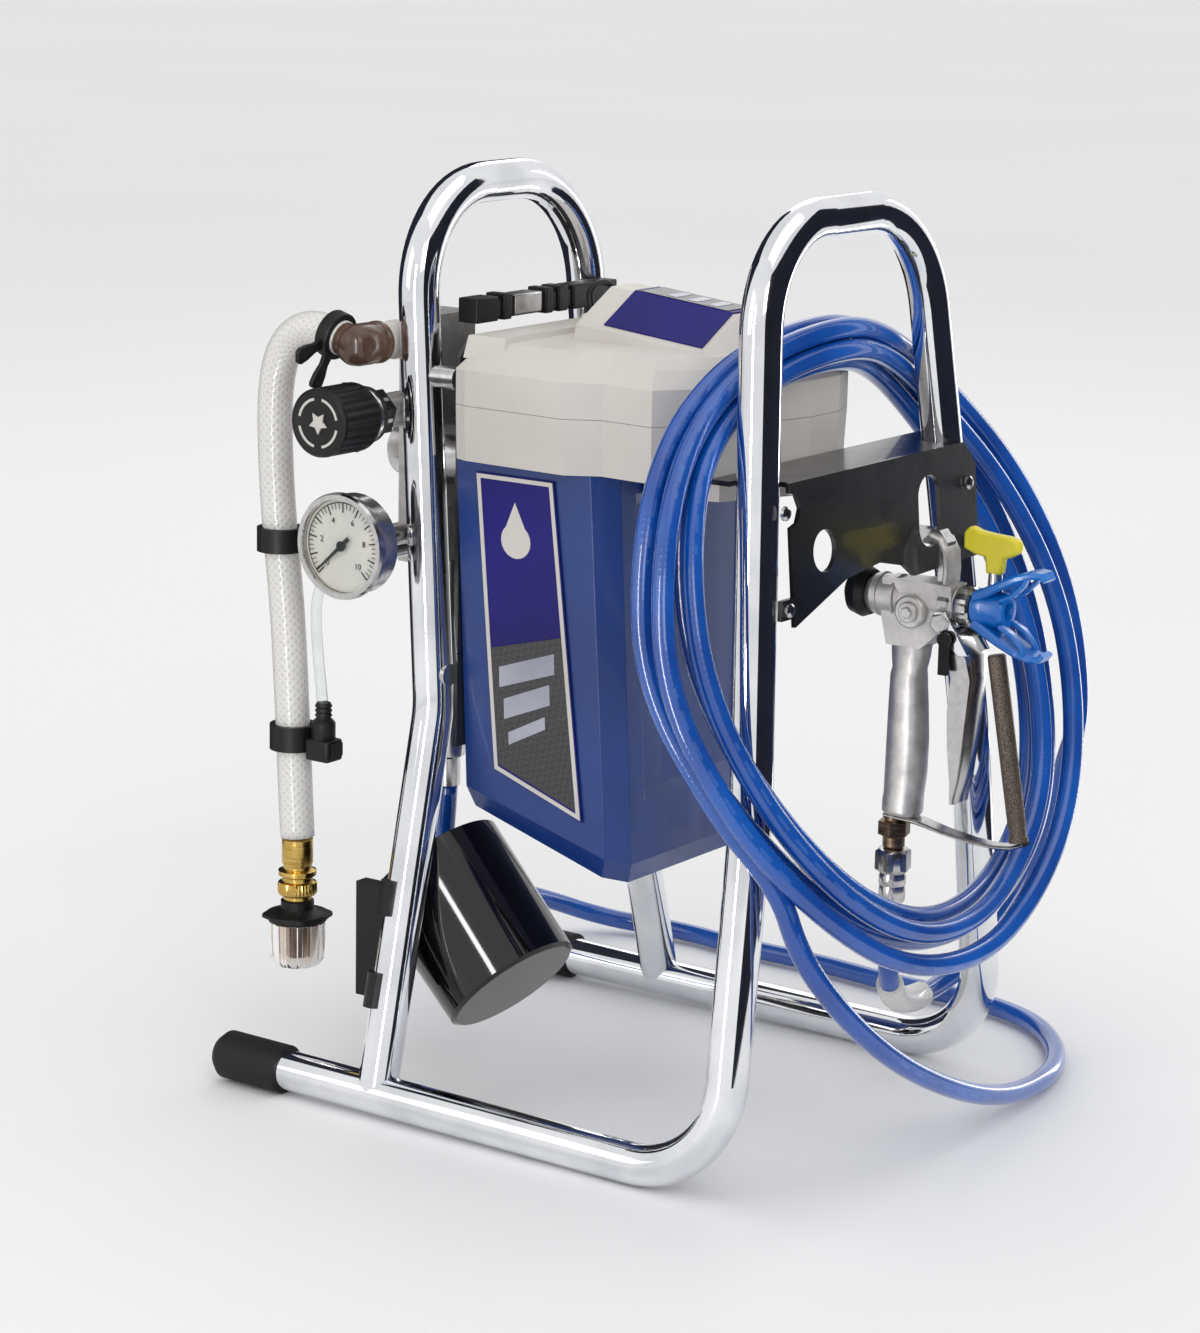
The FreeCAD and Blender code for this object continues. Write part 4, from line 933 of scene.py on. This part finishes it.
def pod_panel(name, low_x, high_x, low_y, high_y, lift, thick, slot):
    """A thin panel over the sloping top of the lid's pod, lifted off it by so many mm."""
    front, back = (POD_FRONT_Z + (y - POD_FRONT_Y) * POD_SLOPE + lift for y in (low_y, high_y))
    corners = [(low_x, low_y, front), (high_x, low_y, front)]
    corners += [(high_x, high_y, back), (low_x, high_y, back)]
    rings = [[(x, y, z + deep) for x, y, z in corners] for deep in (0, thick)]
    finish_piece(loft(name, rings, degrees=30), slot)


def make_top_details():
    """The top badge, and the cord loop at the back of the lid."""
    pod_panel("top_badge_dark", 1, 27, -38, 26, 1.35, 0.25, "carbon_pattern")
    for k in range(3):
        y = -28 + 15 * k
        pod_panel(f"top_badge_bar_{k}", 5, 23, y, y + 7, 1.65, 0.2, "silver_print")
    loop = [(4, 62, 488), (2, 66, 500), (8, 67, 507), (20, 67, 509), (30, 66, 505), (32, 62, 492)]
    finish_piece(tube("lid_loop", line_of(loop), 0.0022, 12), "black_plastic")
    seat = block("lid_loop_seat", (-4, 57, 483), (40, 68, 491), 2)
    finish_piece(seat, "white_plastic")


def make_rear_bar():
    """The ribbed bar across the rear loop, with its metal plate."""
    low, high = Vector((-64.5, 102.5, 488)), Vector((82.5, 114.5, 500))
    bar = block("rear_bar_core", low, high, 1.6)
    finish_piece(bar, "black_plastic")
    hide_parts("rear_cross_bar")
    ribs = ((-66, -44, 2.4), (-38, -30, 3.2), (6, 14, 3.2), (20, 30, 3.2), (36, 84, 2.4))
    for k, (x0, x1, rise) in enumerate(ribs):
        rib = block(f"rear_bar_rib_{k}", (x0, 101, 487), (x1, 116, 500 + rise), 1.0)
        finish_piece(rib, "black_plastic")
    patch = block("rear_bar_plate", (-26, 101.4, 489), (2, 115.4, 501.6), 0.8)
    finish_piece(patch, "zinc_steel")


# ------------ spray gun

GUN_X = 61
BARREL_Z = 328
INLET_Y = -133
TRIGGER_PIVOT = (-168, 318)
TRIGGER_HALF_WIDTH = 13.4
VALVE_YZ = (-146, 322)


def rounded_ring(centre, half_x, half_y, power=2.6, count=32):
    """A level ring between an ellipse and a box."""
    points = []
    for k in range(count):
        angle = 2 * math.pi * k / count
        c, s = math.cos(angle), math.sin(angle)
        x = half_x * math.copysign(abs(c) ** (2 / power), c)
        y = half_y * math.copysign(abs(s) ** (2 / power), s)
        points.append((centre[0] + x, centre[1] + y, centre[2]))
    return points


def make_gun_handle():
    """The cast grip. Its stations are (y, z, half width, half depth) in mm, from the top down."""
    stations = [(-141, 300, 9.4, 12.8), (-140.6, 292, 8.8, 12.2), (-140, 284, 8.4, 10.8)]
    stations += [(-139.6, 280, 9.4, 11.4), (-140, 262, 10.2, 12.2), (-140.4, 240, 10.8, 13)]
    stations += [(-140, 218, 11, 13), (-139, 204, 10.4, 12.4), (-138.6, 200, 10.8, 12.6)]
    stations += [(-138.4, 193, 10.8, 12.6), (-138.4, 191.2, 9.6, 11.4)]
    rings = [rounded_ring((GUN_X, y, z), hx, hy) for y, z, hx, hy in stations]
    handle = loft("gun_grip", rings, degrees=30)
    finish_piece(handle, "cast_alloy")
    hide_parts("gun_handle")


def make_gun_trigger():
    """The hollow lever with its two cheeks and the hexagon heads of its pivot bolt."""
    path = [(-170, 312), (-180, 308), (-187.5, 298), (-189.5, 284), (-187.5, 262)]
    path += [(-185.5, 240), (-183, 220), (-180.5, 209), (-180, 205)]
    depths = (6, 8, 14, 15, 14.5, 11.5, 6.5, 3.6, 2.8)
    rings = []
    for i, ((y, z), deep) in enumerate(zip(path, depths)):
        half = TRIGGER_HALF_WIDTH if i < 3 else 10.5
        left, right = GUN_X - half, GUN_X + half
        section = [(left, deep), (left, 1.5), (left + 2.5, 0), (right - 2.5, 0), (right, 1.5)]
        section += [(right, deep), (right - 1.4, deep), (right - 1.6, 2.6), (left + 1.6, 2.6)]
        section += [(left + 1.4, deep)]
        rings.append([(x, y + back, z) for x, back in section])
    lever = loft("trigger_lever", rings, degrees=38)
    finish_piece(soften(lever, 0.5), "zinc_steel", "trigger")
    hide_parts("gun_trigger")
    cheek = [(-161, 319), (-164, 325), (-171, 325), (-180, 312), (-188, 300), (-181, 299)]
    cheek += [(-168, 311)]
    bolt = [(6.2, 0), (6.6, 0.8), (6.6, 2.6), (5.4, 3.6), (2, 3.8)]
    for side in (-1, 1):
        x = GUN_X + side * TRIGGER_HALF_WIDTH
        flat = slab(f"trigger_cheek_{side + 1}", cheek, x - 0.9, x + 0.9, 0.5)
        finish_piece(flat, "chrome", "trigger")
        head = lathe(f"trigger_bolt_{side + 1}", bolt, (x, *TRIGGER_PIVOT), (side, 0, 0), 6)
        finish_piece(head, "zinc_steel", "trigger")


def make_trigger_guard():
    """The bent strip below the trigger and the knurled post in front of it."""
    stations = [(-128, 189.4, 6.5, 3.0), (-151, 188.4, 6.8, 3.0), (-170, 184.6, 6.4, 2.6)]
    stations += [(-190, 182, 5.8, 2.6), (-206, 181.4, 5.6, 2.6), (-218, 182.8, 6, 2.8)]
    stations += [(-226, 186, 5, 2.6)]
    bar = strip("guard_strip", stations, GUN_X)
    finish_piece(bar, "zinc_steel")
    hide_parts("trigger_guard")
    top, low = Vector((GUN_X, -200, 300.5)), Vector((GUN_X, -221, 186))
    post = [(5, 0), (5.7, 1), (5.7, 106), (5.2, 107), (5.2, 112), (6, 113), (6, 116)]
    finish_piece(lathe("guard_post_knurled", post, top, low - top, 40), "knurled_post")


def make_tip():
    """The tip guard with its two wings, the turning tip, and the ring that seats them."""

    def notches(angle, radius, height):
        return 1 + (0.03 * math.cos(20 * angle) if radius > 12 else 0)

    hub = [(7, 0), (11, 0.4), (12.2, 2), (12.2, 9), (11.4, 11), (11.4, 19), (9.6, 22)]
    hub += [(6, 22.4), (4.2, 19), (4.2, 12)]
    housing = lathe("tip_housing", hub, (GUN_X, -185, BARREL_Z), (0, -1, 0), 48)
    finish_piece(housing, "tip_blue")
    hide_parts("tip_guard")
    for side, name in ((1, "tip_wing_high"), (-1, "tip_wing_low")):
        bend = [(-188, 8, 11.5, 6), (-196, 12, 12.5, 6), (-206, 17.5, 12, 5.4), (-216, 22.5, 11, 5)]
        bend += [(-225, 25.5, 9.6, 4.6), (-231.5, 25.5, 8.0, 4.2), (-234, 22.5, 6.6, 3.6)]
        stations = [(y, BARREL_Z + side * z, half, thick) for y, z, half, thick in bend]
        finish_piece(strip(name, stations, GUN_X, 1.4), "tip_blue")
        rail = [(-206, 8, 3, 3), (-214, 12, 3, 3), (-221, 19, 2.6, 3), (-223, 24, 2.4, 3)]
        for across in (-8, 8):
            stations = [(y, BARREL_Z + side * z, half, thick) for y, z, half, thick in rail]
            finish_piece(
                strip(f"{name}_rail_{across + 8}", stations, GUN_X + across, 1), "tip_blue"
            )
    seat = [(7.2, 0), (11.4, 0), (12.4, 2), (12.4, 9), (11.2, 10.4), (7.2, 10.4)]
    seat_at = (GUN_X, -174.3, BARREL_Z)
    collar = lathe("tip_seat_ring", seat, seat_at, (0, -1, 0), 60, notches)
    finish_piece(collar, "zinc_steel")
    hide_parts("tip_nut")
    outline = [
        (-176, 364), (-176, 374), (-180, 378), (-187, 375.5), (-197, 374.5), (-207, 374),
        (-213, 372),
    ]
    outline += [
        (-214, 365), (-208, 361.5), (-203, 360), (-202, 350), (-192, 350), (-191, 360), (-184, 361)
    ]
    grip = slab("tip_handle", outline, GUN_X - 4, GUN_X + 4, 1.6)
    finish_piece(grip, "tip_yellow", "tip")
    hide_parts("spray_tip")
    stem = [(4.6, 0), (4.9, 0.6), (4.9, 23), (4.6, 24), (4.2, 33)]
    barrel = lathe("tip_barrel_turned", stem, (GUN_X, -197, BARREL_Z - 10), (0, 0, 1))
    finish_piece(barrel, "zinc_steel", "tip")


def make_gun_details():
    """The hook, valve, rings and nuts of the gun, and the end of the hose below it."""
    claw = [(-166, 338, 8, 5), (-167, 350, 8.4, 4.6), (-166, 360, 8.8, 4.4), (-161.5, 367, 9, 4.2)]
    claw += [(-155.5, 369, 9, 4), (-151, 365.5, 8.6, 3.4)]
    finish_piece(strip("hook_claw", claw, GUN_X, 1.4), "cast_alloy")
    boss = [(9.6, 0), (10.4, 0.8), (10.4, 4), (9.2, 5), (6.5, 5), (6.5, 6.6), (5.8, 7.2)]
    boss_at, screw_at = (GUN_X - 9.8, *VALVE_YZ), (GUN_X - 16.8, *VALVE_YZ)
    finish_piece(lathe("valve_boss", boss, boss_at, (-1, 0, 0), 48), "cast_alloy")
    screw = lathe("valve_screw", [(3.8, 0), (3.8, 1.4), (3.2, 2)], screw_at, (-1, 0, 0), 6)
    finish_piece(screw, "zinc_steel")
    ring = [(12.4, 0), (13.9, 0.6), (13.9, 2.6), (12.4, 3.2)]
    for k, y in enumerate((-118, -130)):
        made = lathe(f"barrel_ring_{k}", ring, (GUN_X, y, BARREL_Z), (0, -1, 0))
        finish_piece(made, "cast_alloy")
    nut = [(11.6, 0), (12.6, 0.8), (12.6, 7.2), (11.6, 8)]
    made = lathe("barrel_hex", nut, (GUN_X, -163, BARREL_Z), (0, -1, 0), 6)
    finish_piece(made, "zinc_steel")
    swivel = [(6.3, 0), (6.5, -1), (6.5, -4), (9, -5), (9, -13.4), (7, -15), (7, -21), (6.4, -21.8)]
    spin = lathe("swivel_hex", swivel, (GUN_X, INLET_Y, 190.4), (0, 0, 1), 72, hexagon(8.5))
    finish_piece(spin, "bronze", "swivel")
    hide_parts("inlet_swivel")
    nut = [(8, 0), (9.6, -0.6), (10.2, -2), (10.2, -13.4), (9.4, -15), (8, -16), (8.2, -17)]
    nut += [(8.6, -18.4), (8.6, -23), (8, -24), (8.4, -26), (8.4, -33), (7.4, -35)]
    fitting = lathe("hose_end_nut", nut, (GUN_X, INLET_Y, 168), (0, 0, 1), 72, hexagon(9.8))
    finish_piece(fitting, "zinc_steel")
    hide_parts("hose_nut")
    first_bend = [p for p in line_of(TAIL_ROUTE) if 0.036 < p.z < 0.075 and p.x < 0.145]
    sleeve = tube("bend_restrictor", first_bend, 0.0088, 24)
    finish_piece(sleeve, "hose_white")
    return [fitting, sleeve]


make_knob()
make_gauge_face()
make_inlet()
make_hose_clamp()
coupling_pieces, deflector_pieces = make_suction_end()
make_motor_cover()
make_side_badge()
make_top_details()
make_rear_bar()
make_gun_handle()
make_gun_trigger()
make_trigger_guard()
make_tip()
gun_end_pieces = make_gun_details()


# ------------ what goes with the cords

finish_piece(hose, "hose_blue")
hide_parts("paint_hose_run", "paint_hose_tail", "paint_hose_coil")
finish_piece(suction, "hose_white")
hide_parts("suction_hose")
finish_piece(drain, "hose_clear")
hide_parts("drain_tube")


# ------------ floor and light

# Reaches, heights and sizes are in metres, powers in watts, and the arcs and the streaks'
# places in degrees round from the camera.
FLOOR_HALF = 40
FLAG_ARCS = ((16, 112), (-172, -104))
FLAG_REACH = 0.72
FLAG_HEIGHT = 1.2
STREAK_REACH = 0.8
STREAK_SIZE = (0.07, 0.9)
STREAKS = (("streak_left", -34, 4.0), ("streak_right", 128, 1.2))
LIGHTS = (
    ("key", (-2.2, -2.4, 2.6), (1.4, 1.4), 18),
    ("fill", (-2.6, 1.6, 1.6), (1.2, 1.6), 5),
    ("rim", (2.4, 1.6, 2.2), (1.2, 1.6), 6),
    ("top", (0, -0.4, 2.8), (2.2, 1.6), 6),
)
LIGHT_AIM = (0, 0, 0.3)
WORLD_GREY = 0.885


def make_floor():
    """The pale studio floor."""
    corners = [(FLOOR_HALF * x, FLOOR_HALF * y, 0) for x, y in ((-1, -1), (1, -1), (1, 1), (-1, 1))]
    floor = mesh_object("floor", corners, [(0, 1, 2, 3)], smooth=False)
    floor.location.z = -0.0005
    m = Maker("floor")
    m.set(Roughness=0.9)
    m.feed(
        "Base Color",
        m.ramp(m.noise(0.6, 2), [(0.3, rgb(238, 238, 238)), (0.7, rgb(241, 241, 241))]),
    )
    floor.data.materials.append(m.material)


def make_flags():
    """Dark panels near the stage that only reflections see, so that chrome shows its shape."""
    m = Maker("flag")
    m.set(Roughness=1.0)
    tone = m.ramp(m.noise(1, 1), [(0.3, rgb(8, 10, 20)), (0.7, rgb(16, 20, 44))])
    m.feed("Base Color", tone)
    for low, high in FLAG_ARCS:
        corners = []
        for degrees in range(low, high + 1, 4):
            angle = math.radians(CAMERA_AZIMUTH + degrees)
            place = Vector((FLAG_REACH * math.sin(angle), -FLAG_REACH * math.cos(angle), 0))
            corners += [place, place + Vector((0, 0, FLAG_HEIGHT))]
        walls = [(k, k + 2, k + 3, k + 1) for k in range(0, len(corners) - 2, 2)]
        flag = mesh_object(f"flag_{low + 180}", corners, walls, smooth=False)
        flag.data.materials.append(m.material)
        flag.visible_camera = False
        flag.visible_diffuse = False
        flag.visible_shadow = False
        flag.visible_transmission = False


def area_light(name, size, power):
    """A rectangular light, which the caller puts in its place."""
    data = bpy.data.lights.new(name, "AREA")
    data.shape = "RECTANGLE"
    data.size, data.size_y = size
    data.energy = power
    return link(name, data)


def make_light(name, place, size, power):
    """A soft light that points at the middle of the stage."""
    light = area_light(name, size, power)
    light.location = place
    aim = Vector(LIGHT_AIM) - Vector(place)
    light.rotation_mode = "QUATERNION"
    light.rotation_quaternion = aim.to_track_quat("-Z", "Y")


def make_streak(name, from_camera, power):
    """A narrow strip light that only glossy surfaces see, for streaks on hose, cup and tubes."""
    light = area_light(name, STREAK_SIZE, power)
    angle = math.radians(CAMERA_AZIMUTH + from_camera)
    x, y = STREAK_REACH * math.sin(angle), -STREAK_REACH * math.cos(angle)
    light.location = (x, y, STREAK_SIZE[1] / 2)
    light.rotation_euler = (math.pi / 2, 0, angle)
    light.visible_camera = False
    light.visible_diffuse = False
    light.visible_transmission = False


def make_world():
    """An even grey sky."""
    world = bpy.data.worlds.new("studio")
    world.use_nodes = True
    back = world.node_tree.nodes["Background"]
    back.inputs["Color"].default_value = (WORLD_GREY, WORLD_GREY, WORLD_GREY, 1)
    back.inputs["Strength"].default_value = 1.0
    bpy.context.scene.world = world


make_floor()
make_flags()
for values in LIGHTS:
    make_light(*values)
for values in STREAKS:
    make_streak(*values)
make_world()
bpy.context.scene.view_settings.view_transform = "Standard"
